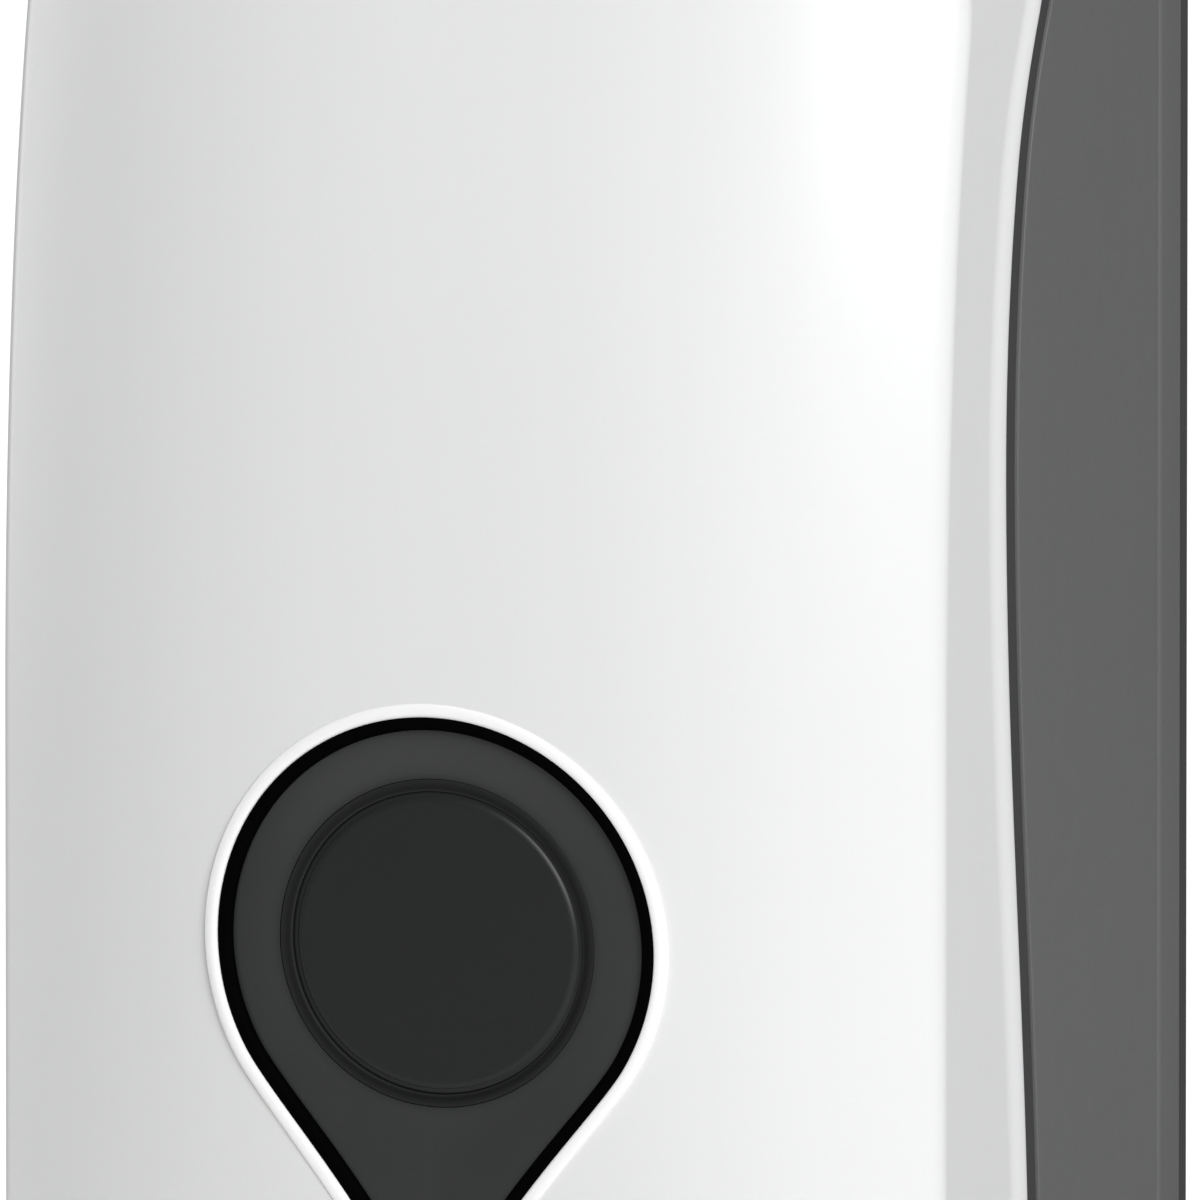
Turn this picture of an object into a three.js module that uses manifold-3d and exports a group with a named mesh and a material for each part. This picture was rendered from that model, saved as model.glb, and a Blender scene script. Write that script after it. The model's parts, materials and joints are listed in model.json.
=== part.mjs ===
// A battery video doorbell on its wall plate, in millimetres.
// +X is right seen from the front, the front faces -Y, the wall is the plane y = 0 and +Z is up.
// The origin is the middle of the wall plate's back face.
import * as THREE from 'three';
import { mergeVertices } from 'three/addons/utils/BufferGeometryUtils.js';
import Module from 'manifold-3d';

const wasm = await Module();
wasm.setup();

// ---------- driving dimensions ----------
const WIDTH = 52;
const HEIGHT = 142;
const DEPTH = 45;
const CORNER = 15;
const WALL = 2.2;
const GAP = 0.3;

// front surface
const CROWN = 6.4;
const CROWN_POWER = 2.8;
const TOP_ARCH = { start: 19, length: 52, depth: 12.8 };
const BOTTOM_ARCH = { start: -41, length: 30, depth: 7 };

// line between the white shell and the dark housing, as distances from the wall
const PARTING = { apex: 33, reach: 29.2, drop: 3.9, dropLength: 48, rise: 24.6, riseLength: 40 };
const PARTING_SWEEP = { start: 48, length: 20, depth: 2.6 };
const SEAL = { shell: -0.2, front: 0, back: 1.4, housing: 1.6, inset: 0.5, width: 1.4 };

// features on the front, as heights
const LENS_Z = 9;
const BUTTON_Z = -33;
const PIR_Z = -54.5;
const MIC_Z = -17;

// drop-shaped window
const DROP_RADIUS = 11.9;
const DROP_ANGLE = THREE.MathUtils.degToRad(30);
const DROP_FLANK = { x: 1.6, y: 2.77 };
const DROP_NECK = { x: 1.7, y: -15.5 };
const DROP_TIP = { x: 0.75, y: -21 };
const LIP = 0.9;

// layers behind the front, as y of the front and back faces
const FRONT = -DEPTH;
const BEZEL = { front: FRONT, back: FRONT + 1.6 };
const GASKET = { front: FRONT + 0.1, back: FRONT + 1.6 };
const WINDOW = { front: FRONT + 0.3, back: FRONT + 1.8 };
const IR_BOARD = { front: FRONT + 3.8, back: FRONT + 4.8 };
const MAIN_BOARD = { front: -23.9, back: -22.7, width: 41, height: 116, corner: 2, z: -2 };
const CHASSIS = { front: -22.2, back: -20.9, width: 45, height: 118, corner: 6, z: -1 };
const BACK_WALL = { front: -6.8, back: -4.8 };
const PLATE = { front: -4.5, floor: -2 };

// battery pack
const PACK = { halfWidth: 18.5, front: -20.5, back: -7.4, top: 13, capTop: -66.3, wall: 1.1 };
const CAP = { halfWidth: 19, front: -21.2, back: -7.3 };

// hooks between the wall plate and the unit
const LIFT = 5;
const HOOKS = [
  { x: 17, z: 44, width: 7 },
  { x: 21.6, z: -24, width: 3.2 },
];
const HOOK = { stem: 3, height: 6.5, lipFront: -8.6, lipBack: -7.1 };

// screws that close the case
const BOSSES = [
  { x: 17.5, z: 62 },
  { x: 21.6, z: -52 },
];
const BOSS = { radius: 2.3, hole: 1.5, head: 2.5, headDepth: 1.6, skin: 3.5 };

const HALF_WIDTH = WIDTH / 2;
const HALF_HEIGHT = HEIGHT / 2;
const SIDES = [-1, 1];

// a length that reaches past any face when something is cut
const PAST = 1;
const OUTSIDE = FRONT - 2 * PAST;
const SHELL_CUT = [OUTSIDE, FRONT + 7];

// ---------- materials ----------
function material(color, roughness, metalness = 0) {
  return new THREE.MeshStandardMaterial({ color, roughness, metalness });
}

const WHITE = () => material(0xe6e6e4, 0.35);
const DARK = () => material(0x606161, 0.55);
const WINDOW_DARK = () => material(0x383a39, 0.25);
const BLACK = () => material(0x17181a, 0.5);
const RUBBER = () => material(0x1b1b1c, 0.8);
const GLASS = () => material(0x2b2c2c, 0.08);
const BOARD = () => material(0x1d4a34, 0.55);
const STEEL = () => material(0xb4b6b8, 0.3, 1);
const FRAME = () => material(0x2c2d2f, 0.6);
const LIGHT = () => material(0xd8dde2, 0.4);
const CELL = () => material(0x5f7f9c, 0.4);
const GOLD = () => material(0xc9a24a, 0.35, 1);

// ---------- solids ----------
const MERGE_DISTANCE = 1e-4;

function outwardTriangles(positions, index) {
  const corners = [new THREE.Vector3(), new THREE.Vector3(), new THREE.Vector3()];
  const kept = [];
  let volume = 0;
  for (let i = 0; i < index.length; i += 3) {
    const [a, b, c] = [index[i], index[i + 1], index[i + 2]];
    if (a === b || b === c || c === a) continue;
    [a, b, c].forEach((vertex, k) => corners[k].fromArray(positions, 3 * vertex));
    volume += corners[0].dot(corners[1].clone().cross(corners[2]));
    kept.push([a, b, c]);
  }
  return kept.flatMap(([a, b, c]) => (volume < 0 ? [a, c, b] : [a, b, c]));
}

function solid(geometry) {
  geometry.deleteAttribute('normal');
  geometry.deleteAttribute('uv');
  const merged = mergeVertices(geometry, MERGE_DISTANCE);
  const positions = Float32Array.from(merged.attributes.position.array);
  const triangles = outwardTriangles(positions, merged.index.array);
  return new wasm.Manifold(
    new wasm.Mesh({ numProp: 3, vertProperties: positions, triVerts: Uint32Array.from(triangles) }),
  );
}

function geometryOf(body) {
  const mesh = body.getMesh();
  const geometry = new THREE.BufferGeometry();
  geometry.setAttribute('position', new THREE.BufferAttribute(mesh.vertProperties, 3));
  geometry.setIndex(new THREE.BufferAttribute(mesh.triVerts, 1));
  geometry.computeVertexNormals();
  return geometry;
}

function block(x, y, z) {
  const box = new THREE.BoxGeometry(x[1] - x[0], y[1] - y[0], z[1] - z[0]);
  box.translate((x[0] + x[1]) / 2, (y[0] + y[1]) / 2, (z[0] + z[1]) / 2);
  return solid(box);
}

// A cylinder along Y, from y[0] to y[1].
function rod(radius, y, x = 0, z = 0, sides = 16) {
  const cylinder = new THREE.CylinderGeometry(radius, radius, y[1] - y[0], sides);
  cylinder.translate(x, (y[0] + y[1]) / 2, z);
  return solid(cylinder);
}

// A turned solid about a line along Y; the profile lists [radius, y].
function turned(profile, x = 0, z = 0, sides = 20) {
  const points = profile.map(([radius, y]) => new THREE.Vector2(radius, y));
  const lathe = new THREE.LatheGeometry(points, sides);
  lathe.translate(x, 0, z);
  return solid(lathe);
}

function ring(inner, outer, y, x = 0, z = 0, sides = 28) {
  const profile = [[inner, y[0]], [outer, y[0]], [outer, y[1]], [inner, y[1]], [inner, y[0]]];
  return turned(profile, x, z, sides);
}

// The shape's x is X and its y is Z; it runs from y[0] to y[1].
function slabY(shape, y, curveSegments = 6) {
  const depth = y[1] - y[0];
  const slab = new THREE.ExtrudeGeometry(shape, { depth, bevelEnabled: false, curveSegments });
  slab.rotateX(Math.PI / 2);
  slab.translate(0, y[1], 0);
  return solid(slab);
}

// The shape's x is X and its y is Y; it runs from z[0] to z[1].
function slabZ(shape, z, curveSegments = 3) {
  const depth = z[1] - z[0];
  const slab = new THREE.ExtrudeGeometry(shape, { depth, bevelEnabled: false, curveSegments });
  slab.translate(0, 0, z[0]);
  return solid(slab);
}

// The shape's x is Y and its y is Z; it runs across the whole width.
function slabAcross(shape) {
  const depth = WIDTH + 4;
  const slab = new THREE.ExtrudeGeometry(shape, { depth, bevelEnabled: false });
  const axes = [new THREE.Vector3(0, 1, 0), new THREE.Vector3(0, 0, 1), new THREE.Vector3(1, 0, 0)];
  slab.applyMatrix4(new THREE.Matrix4().makeBasis(...axes));
  slab.translate(-depth / 2, 0, 0);
  return solid(slab);
}

function roundedRectangle(width, height, radius, x = 0, y = 0) {
  const [w, h] = [width / 2, height / 2];
  const shape = new THREE.Shape();
  shape.absarc(x + w - radius, y - h + radius, radius, -Math.PI / 2, 0);
  shape.absarc(x + w - radius, y + h - radius, radius, 0, Math.PI / 2);
  shape.absarc(x - w + radius, y + h - radius, radius, Math.PI / 2, Math.PI);
  shape.absarc(x - w + radius, y - h + radius, radius, Math.PI, 1.5 * Math.PI);
  shape.closePath();
  return shape;
}

// A round wire spring along Y with its ends at y[0] and y[1].
function coil(radius, wire, y, turns) {
  const stepsPerTurn = 8;
  const points = [];
  for (let i = 0; i <= turns * stepsPerTurn; i += 1) {
    const angle = (2 * Math.PI * i) / stepsPerTurn;
    const along = y[0] + wire + ((y[1] - y[0] - 2 * wire) * i) / (turns * stepsPerTurn);
    points.push(new THREE.Vector3(radius * Math.cos(angle), along, radius * Math.sin(angle)));
  }
  const section = new THREE.Shape().absarc(0, 0, wire, 0, 2 * Math.PI);
  const extrudePath = new THREE.CatmullRomCurve3(points);
  const steps = points.length - 1;
  return solid(new THREE.ExtrudeGeometry(section, { steps, extrudePath, curveSegments: 4 }));
}

// ---------- the outer form ----------
function ellipseDrop(distance, { length, depth }) {
  const t = Math.min(1, Math.max(0, distance / length));
  return depth * (1 - Math.sqrt(1 - t * t));
}

// How far the front surface stands from the wall.
function frontReach(x, z) {
  const crown = CROWN * Math.min(1, Math.abs(x) / HALF_WIDTH) ** CROWN_POWER;
  const top = ellipseDrop(z - TOP_ARCH.start, TOP_ARCH);
  const bottom = ellipseDrop(BOTTOM_ARCH.start - z, BOTTOM_ARCH);
  return DEPTH - crown - top - bottom;
}

// How far the parting line stands from the wall: it bulges forward at its apex.
function partingReach(z) {
  const above = z - PARTING.apex;
  const rise = { length: PARTING.riseLength, depth: PARTING.rise };
  const swept = Math.min(1, Math.max(0, (z - PARTING_SWEEP.start) / PARTING_SWEEP.length));
  const sweep = (PARTING_SWEEP.depth / 2) * (1 - Math.cos(Math.PI * swept));
  if (above >= 0) return PARTING.reach - ellipseDrop(above, rise) - sweep;
  const below = Math.min(1, -above / PARTING.dropLength);
  return PARTING.reach - (PARTING.drop / 2) * (1 - Math.cos(Math.PI * below));
}

// The parting line as points (y, z), moved towards the wall by an offset.
function partingLine(offset) {
  const steps = 24;
  const end = HALF_HEIGHT + PAST;
  const points = [];
  for (let i = 0; i <= steps; i += 1) {
    const z = -end + (2 * end * i) / steps;
    const slope = partingReach(z - 0.5) - partingReach(z + 0.5);
    const length = Math.hypot(1, slope);
    points.push(new THREE.Vector2(-partingReach(z) + offset / length, z - (offset * slope) / length));
  }
  return points;
}

function regionBeside(offset, y) {
  const line = partingLine(offset);
  const far = HALF_HEIGHT + 4;
  const corners = [new THREE.Vector2(y, far), new THREE.Vector2(y, -far)];
  return slabAcross(new THREE.Shape([...line, ...corners]));
}

function partingBand(front, back) {
  return slabAcross(new THREE.Shape([...partingLine(front), ...partingLine(back).reverse()]));
}

// A solid from the plane y = back to the crowned front surface moved in by an inset.
function crownedBlock(inset, back, columns, rows) {
  const box = new THREE.BoxGeometry(WIDTH + 2, 2, HEIGHT + 2, columns, 1, rows);
  const position = box.attributes.position;
  for (let i = 0; i < position.count; i += 1) {
    const isFront = position.getY(i) < 0;
    const reach = frontReach(position.getX(i), position.getZ(i));
    position.setY(i, isFront ? inset - reach : back);
  }
  return solid(box);
}

// A straight-sided solid with the outline moved in by an inset.
function column(inset, y) {
  return slabY(roundedRectangle(WIDTH - 2 * inset, HEIGHT - 2 * inset, CORNER - inset), y);
}

function envelope(inset, back, columns, rows) {
  return crownedBlock(inset, back, columns, rows).intersect(column(inset, [OUTSIDE, back]));
}

// ---------- the window's drop outline ----------
function dropShape(grow) {
  const radius = DROP_RADIUS + grow;
  const shoulder = new THREE.Vector2(radius * Math.cos(DROP_ANGLE), -radius * Math.sin(DROP_ANGLE));
  const flank = new THREE.Vector2(shoulder.x - DROP_FLANK.x, shoulder.y - DROP_FLANK.y);
  const neck = new THREE.Vector2(DROP_NECK.x + 0.7 * grow, DROP_NECK.y - 0.9 * grow);
  const tip = new THREE.Vector2(Math.max(0.15, DROP_TIP.x + 0.45 * grow), DROP_TIP.y - 1.2 * grow);
  const up = (point) => point.y + LENS_Z;
  const shape = new THREE.Shape();
  shape.absarc(0, LENS_Z, radius, -DROP_ANGLE, Math.PI + DROP_ANGLE);
  shape.bezierCurveTo(-flank.x, up(flank), -neck.x, up(neck), -tip.x, up(tip));
  shape.quadraticCurveTo(0, up(tip) - tip.x, tip.x, up(tip));
  shape.bezierCurveTo(neck.x, up(neck), flank.x, up(flank), shoulder.x, up(shoulder));
  return shape;
}

function dropRing(inner, outer, y) {
  return slabY(dropShape(outer), y).subtract(slabY(dropShape(inner), [y[0] - 1, y[1] + 1]));
}

// ---------- wall plate ----------
function hook({ x, z, width }) {
  const across = [x - width / 2, x + width / 2];
  const stem = block(across, [HOOK.lipFront, PLATE.floor + 0.5], [z, z + HOOK.stem]);
  const lip = block(across, [HOOK.lipFront, HOOK.lipBack], [z, z + HOOK.height]);
  return stem.add(lip);
}

const WIRE_OPENING = { width: 26, height: 28, corner: 4, z: 29 };

function wallPlate() {
  const rim = 2;
  const slot = { length: 9, width: 4.4, corner: 2.1, upper: 62.5, lower: -46 };
  const through = [PLATE.front - PAST, PAST];
  let plate = slabY(roundedRectangle(WIDTH, HEIGHT, CORNER), [PLATE.front, 0]);
  const pocket = roundedRectangle(WIDTH - 2 * rim, HEIGHT - 2 * rim, CORNER - rim);
  plate = plate.subtract(slabY(pocket, [PLATE.front - PAST, PLATE.floor]));
  const { width, height, corner, z } = WIRE_OPENING;
  plate = plate.subtract(slabY(roundedRectangle(width, height, corner, 0, z), through));
  const upperSlot = roundedRectangle(slot.length, slot.width, slot.corner, 0, slot.upper);
  const lowerSlot = roundedRectangle(slot.width, slot.length, slot.corner, 0, slot.lower);
  plate = plate.subtract(slabY(upperSlot, through)).subtract(slabY(lowerSlot, through));
  for (const place of HOOKS) {
    for (const side of SIDES) plate = plate.add(hook({ ...place, x: side * place.x }));
  }
  return plate;
}

// ---------- case ----------
const TERMINALS = { x: 7, z: 24, head: 2.8, hole: 3.3, post: 3, thread: 1.8 };
const RESET = { z: 36, radius: 2, hole: 2.3, flange: 3 };
const TAMPER = { z: 54, radius: 1.4, hole: 1.7, flange: 2.6, pin: 0.9 };
const DOOR_HEIGHT = 7;

function rearHousing() {
  const through = [BACK_WALL.front - PAST, BACK_WALL.back + PAST];
  const front = -PARTING.reach - 2;
  const seat = BACK_WALL.back - BOSS.headDepth;
  const room = column(WALL, [front - PAST, BACK_WALL.front]);
  let housing = column(0, [front, BACK_WALL.back]).subtract(room);
  for (const { x, z } of BOSSES) {
    for (const side of SIDES) housing = housing.add(rod(BOSS.radius, [front, seat], side * x, z));
  }
  housing = housing.intersect(regionBeside(SEAL.housing, PAST));
  for (const { x, z } of BOSSES) {
    for (const side of SIDES) {
      housing = housing.subtract(rod(BOSS.hole, [FRONT, 0], side * x, z));
      housing = housing.subtract(rod(BOSS.head, [seat, 0], side * x, z));
    }
  }
  for (const { x, z, width } of HOOKS) {
    for (const side of SIDES) {
      const across = [side * x - width / 2 - GAP, side * x + width / 2 + GAP];
      const up = [z - LIFT - GAP, z + HOOK.stem + GAP];
      housing = housing.subtract(block(across, through, up));
    }
  }
  for (const side of SIDES) {
    housing = housing.subtract(rod(TERMINALS.hole, through, side * TERMINALS.x, TERMINALS.z));
  }
  housing = housing.subtract(rod(RESET.hole, through, 0, RESET.z));
  housing = housing.subtract(rod(TAMPER.hole, through, 0, TAMPER.z));
  const across = [-CAP.halfWidth - GAP, CAP.halfWidth + GAP];
  const deep = [CAP.front - GAP, CAP.back + GAP];
  return housing.subtract(block(across, deep, [-HALF_HEIGHT - PAST, -HALF_HEIGHT + DOOR_HEIGHT]));
}

const SPEAKER = { halfWidth: 13, front: -35, back: -25.8, top: -62, bottom: -66.6 };
const SPEAKER_SLOTS = { count: 7, pitch: 3.2, width: 1.4, y: [-33, -27.6] };
const MIC = { hole: 0.8, radius: 2, front: FRONT + 3, back: FRONT + 4.6 };

function frontShell() {
  let shell = envelope(0, 0, 12, 32).subtract(envelope(WALL, 0, 8, 20));
  for (const { x, z } of BOSSES) {
    for (const side of SIDES) {
      const front = WALL / 2 - frontReach(x, z);
      shell = shell.add(rod(BOSS.radius, [front, BACK_WALL.front], side * x, z));
    }
  }
  shell = shell.intersect(regionBeside(SEAL.shell, OUTSIDE));
  for (const { x, z } of BOSSES) {
    for (const side of SIDES) {
      const holeEnd = BOSS.skin - frontReach(x, z);
      shell = shell.subtract(rod(BOSS.hole, [holeEnd, 0], side * x, z));
    }
  }
  shell = shell.subtract(slabY(dropShape(LIP + GAP), SHELL_CUT));
  shell = shell.subtract(rod(LIGHT_RING.outer + GAP, SHELL_CUT, 0, BUTTON_Z, 40));
  shell = shell.subtract(rod(PIR_LENS.radius + GAP, SHELL_CUT, 0, PIR_Z));
  shell = shell.subtract(rod(MIC.hole, SHELL_CUT, 0, MIC_Z, 10));
  return shell.subtract(speakerSlots());
}

function speakerSlots() {
  const { count, pitch, width, y } = SPEAKER_SLOTS;
  const z = [-HALF_HEIGHT - PAST, -HALF_HEIGHT + WALL + PAST];
  const slots = Array.from({ length: count }, (_, i) => {
    const x = (i - (count - 1) / 2) * pitch;
    return block([x - width / 2, x + width / 2], y, z);
  });
  return slots.reduce((sum, next) => sum.add(next));
}

function housingSeal() {
  const strip = partingBand(SEAL.front, SEAL.back);
  const front = -PARTING.reach - 2;
  const inside = column(SEAL.inset + SEAL.width, [front - PAST, PAST]);
  return column(SEAL.inset, [front, 0]).subtract(inside).intersect(strip);
}

function chassis() {
  const rail = { x: 18.8, width: 1, back: -17, z: [-45, 12] };
  const outline = roundedRectangle(CHASSIS.width, CHASSIS.height, CHASSIS.corner, 0, CHASSIS.z);
  let plate = slabY(outline, [CHASSIS.front, CHASSIS.back]);
  for (const side of SIDES) {
    const across = [side * rail.x, side * (rail.x + rail.width)].sort((a, b) => a - b);
    plate = plate.add(block(across, [CHASSIS.front, rail.back], rail.z));
  }
  return plate.subtract(bossClearance());
}

function bossClearance() {
  const radius = BOSS.radius + 0.4;
  const y = [FRONT, BACK_WALL.front];
  const rods = BOSSES.flatMap(({ x, z }) => SIDES.map((side) => rod(radius, y, side * x, z)));
  return rods.reduce((sum, next) => sum.add(next));
}

// A pan-head screw along Y, its head's outer face at y = 0 and its point towards -Y.
function screw({ head, headHeight, shank, length }) {
  const slot = { width: 0.7, depth: 0.6 };
  const tip = -headHeight - length;
  const top = [[0, 0], [head, 0], [head, -headHeight], [shank, -headHeight]];
  const profile = [...top, [shank, tip + shank], [0, tip]];
  const cross = block([-head, head], [-slot.depth, 1], [-slot.width / 2, slot.width / 2]);
  return turned(profile, 0, 0, 12).subtract(cross);
}

const CASE_SCREW = { head: 2.1, headHeight: 1.2, shank: 1.2, sunk: 5 };
const TERMINAL_SCREW = { head: TERMINALS.head, headHeight: 1.6, shank: 1.4, length: 6, sunk: 5 };

// ---------- camera ----------
const LENS_RING = { inner: 8.15, outer: 8.55, front: FRONT + 0.3, back: FRONT + 1.7 };
const LENS_COVER = { radius: 7.9, front: FRONT + 0.4, back: FRONT + 1.5 };
const BARREL = { wide: 7.2, narrow: 5.9, front: FRONT + 2, step: -35.4, back: -31.9 };
const MOUNT = { half: 8.5, front: -35, back: -31.3, hole: 6.2 };

function cameraWindow() {
  const panel = slabY(dropShape(-LIP - GAP), [WINDOW.front, WINDOW.back]);
  return panel.subtract(rod(LENS_RING.outer + 0.15, SHELL_CUT, 0, LENS_Z, 40));
}

function irBoard() {
  const board = slabY(dropShape(-LIP - 0.8), [IR_BOARD.front, IR_BOARD.back]);
  return board.subtract(rod(BARREL.wide + 0.4, SHELL_CUT, 0, LENS_Z, 32));
}

function lensBarrel() {
  const { wide, narrow, front, step, back } = BARREL;
  const outside = [[wide, front], [wide, step], [narrow, step], [narrow, back]];
  const inside = [[3.6, back], [3.6, step - 0.6], [5.5, step - 0.6], [5.5, front + 0.8], [6.4, front]];
  return turned([...outside, ...inside, outside[0]], 0, LENS_Z, 24);
}

function lensFront() {
  const { front } = BARREL;
  const face = [[0, front - 0.1], [2.6, front + 0.2], [5.2, front + 1.4]];
  return turned([...face, [5.2, front + 3.6], [0, front + 4.4]], 0, LENS_Z);
}

function lensRear() {
  return turned([[0, -35.6], [2, -35.3], [3.3, -34.6], [3.3, -33], [0, -32.4]], 0, LENS_Z);
}

function lensMount() {
  const { half, front, back, hole } = MOUNT;
  const body = block([-half, half], [front, back], [LENS_Z - half, LENS_Z + half]);
  return body.subtract(rod(hole, [front - PAST, back + PAST], 0, LENS_Z, 28));
}

const FILTER = { width: 7, travel: 6, front: -30.4, back: -29.8 };
const FILTER_CASE = { x: [-6, 12], front: -31, back: -27.7, half: 6.5, sight: 3 };

function filterHousing() {
  const { x, front, back, half, sight } = FILTER_CASE;
  const room = FILTER.width / 2 + GAP;
  const shell = block(x, [front, back], [LENS_Z - half, LENS_Z + half]);
  const trackDeep = [front - PAST, FILTER.back + GAP];
  const track = block([-room, room + FILTER.travel], trackDeep, [LENS_Z - room, LENS_Z + room]);
  return shell.subtract(track).subtract(rod(sight, [front - PAST, back + PAST], 0, LENS_Z));
}

function infraredFilter() {
  const half = FILTER.width / 2;
  return block([-half, half], [FILTER.front, FILTER.back], [LENS_Z - half, LENS_Z + half]);
}

// A flat cable from the camera board down to the main board; the outline lists (y, z).
function flexCable() {
  const sweep = new THREE.Shape();
  sweep.moveTo(-25, -2.3);
  sweep.lineTo(-25, -5.5);
  sweep.quadraticCurveTo(-25, -7, -24.4, -7.5);
  sweep.lineTo(-24.2, -12);
  sweep.lineTo(-24.45, -12);
  sweep.lineTo(-24.65, -7.6);
  sweep.quadraticCurveTo(-25.3, -7, -25.3, -5.5);
  sweep.lineTo(-25.3, -2.3);
  const cable = slabAcross(sweep);
  const halfWidth = 4;
  return cable.intersect(block([-halfWidth, halfWidth], [FRONT, 0], [-HALF_HEIGHT, 0]));
}

// ---------- call button ----------
const LIGHT_RING = { inner: 10.8, outer: 12.6, front: FRONT - 0.1, back: FRONT + 2 };
const CAP_FLANGE = { radius: 11.8, front: FRONT + 2.4, back: FRONT + 3.4 };
const CAP_STEM = { radius: 2.5, back: -29.8 };
const LIGHT_BOARD = { inner: 4, outer: 11.8, front: FRONT + 6.8, back: FRONT + 7.8 };

function buttonCap() {
  const { front, back, radius } = CAP_FLANGE;
  const face = [[0, FRONT - 0.2], [6, FRONT - 0.35], [9.6, FRONT - 0.6], [10.4, FRONT - 0.1]];
  const flange = [[10.4, front], [radius, front], [radius, back]];
  const stem = [[CAP_STEM.radius, back], [CAP_STEM.radius, CAP_STEM.back], [0, CAP_STEM.back]];
  return turned([...face, ...flange, ...stem], 0, BUTTON_Z, 32);
}

// A collar round the cap's flange with a ledge that carries the light board.
function buttonFrame() {
  const [front, back] = [FRONT + 5, FRONT + 10];
  const outside = [[12.2, front], [14.6, front], [14.6, front + 1], [13.6, front + 1], [13.6, back]];
  const ledge = [[11, back], [11, back - 1], [12.2, back - 1]];
  return turned([...outside, ...ledge, outside[0]], 0, BUTTON_Z, 28);
}

function buttonDome() {
  const [front, back] = [CAP_FLANGE.back + 0.3, LIGHT_BOARD.front - 0.3];
  const outside = [[9.6, front], [10.4, front], [7.6, back]];
  return turned([...outside, [6.8, back], outside[0]], 0, BUTTON_Z, 24);
}

function tactSwitch(height) {
  const body = block([-3, 3], [-3.5, 0], [-3, 3]);
  return body.add(rod(1.7, [-height, -3], 0, 0, 16));
}

// ---------- sensors and sound ----------
const PIR_LENS = { radius: 4.6, flange: 5.8, top: FRONT - 0.1 };

// A hollow dome with a flange behind the shell.
function pirLens() {
  const { radius, flange, top } = PIR_LENS;
  const dome = [[0, top], [2.2, top + 0.3], [3.8, top + 1.1], [radius, top + 2.3]];
  const foot = [[radius, top + 4.7], [flange, top + 4.7], [flange, top + 5.5], [3.9, top + 5.5]];
  const inside = [[3.9, top + 2.5], [3, top + 1.5], [1.8, top + 0.9], [0, top + 0.7]];
  return turned([...dome, ...foot, ...inside], 0, PIR_Z, 20);
}

function speakerFrame() {
  const { halfWidth, front, back, top, bottom } = SPEAKER;
  const middle = (front + back) / 2;
  const outer = roundedRectangle(2 * halfWidth, back - front, 3, 0, middle);
  const inner = roundedRectangle(2 * halfWidth - 3, back - front - 3, 2, 0, middle);
  return slabZ(outer, [bottom, top]).subtract(slabZ(inner, [bottom - 1, top - 1.5]));
}

function speakerCone() {
  const { halfWidth, front, back, bottom } = SPEAKER;
  const middle = (front + back) / 2;
  const rim = roundedRectangle(2 * halfWidth - 4, back - front - 4, 1.5, 0, middle);
  const dome = roundedRectangle(2 * halfWidth - 12, 2.4, 1, 0, middle);
  return slabZ(rim, [bottom + 0.6, bottom + 1.2]).add(slabZ(dome, [bottom + 0.2, bottom + 0.8]));
}

// ---------- boards ----------
function mainBoard() {
  const { width, height, corner, z, front, back } = MAIN_BOARD;
  return slabY(roundedRectangle(width, height, corner, 0, z), [front, back]).subtract(bossClearance());
}

function terminalBoard() {
  const { x, z, post, thread } = TERMINALS;
  const [front, back, postEnd] = [-13.6, -12.4, -7.3];
  let board = block([-12, 12], [front, back], [21, 60]);
  for (const side of SIDES) {
    board = board.add(rod(post, [back - 0.1, postEnd], side * x, z, 16));
    board = board.subtract(rod(thread, [front - PAST, postEnd + PAST], side * x, z, 12));
  }
  return board;
}

function resetButton() {
  const { radius, flange, z } = RESET;
  const pin = [[0, -5.1], [radius, -5.1], [radius, -7.2]];
  return turned([...pin, [flange, -7.2], [flange, -8], [0, -8]], 0, z, 20);
}

function tamperPlunger() {
  const { radius, flange, pin, z } = TAMPER;
  const nose = [[0, -2.3], [radius, -2.6], [radius, -7.2]];
  const tail = [[flange, -7.2], [flange, -8], [pin, -8], [pin, -9.6], [0, -9.6]];
  return turned([...nose, ...tail], 0, z, 20);
}

// ---------- battery pack ----------
function batteryCase() {
  const { halfWidth, front, back, top, capTop, wall } = PACK;
  const [width, depth, middle] = [2 * halfWidth, back - front, (front + back) / 2];
  const outer = slabZ(roundedRectangle(width, depth, 2.5, 0, middle), [capTop + GAP, top]);
  const inner = roundedRectangle(width - 2 * wall, depth - 2 * wall, 1.4, 0, middle);
  const room = slabZ(inner, [capTop - 1, top - wall]);
  const contact = (x) => block([x - 1.5, x + 1.5], [-18.4, -15.4], [0, top + PAST]);
  return outer.subtract(room).subtract(contact(-4)).subtract(contact(4));
}

const USB = { y: -14.2, width: 9, depth: 3.3 };
const FLAP = { halfWidth: 6.2, halfDepth: 3.4, thickness: 1, hingeX: -6.9 };
const LATCH = { x: [11, 17.6], nose: 18.8, halfDepth: 2.8, height: 3.4, springStart: 7.6 };
const LATCH_GROOVES = [12.4, 14.2, 16];
const CAP_BOTTOM = -HALF_HEIGHT;

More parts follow.
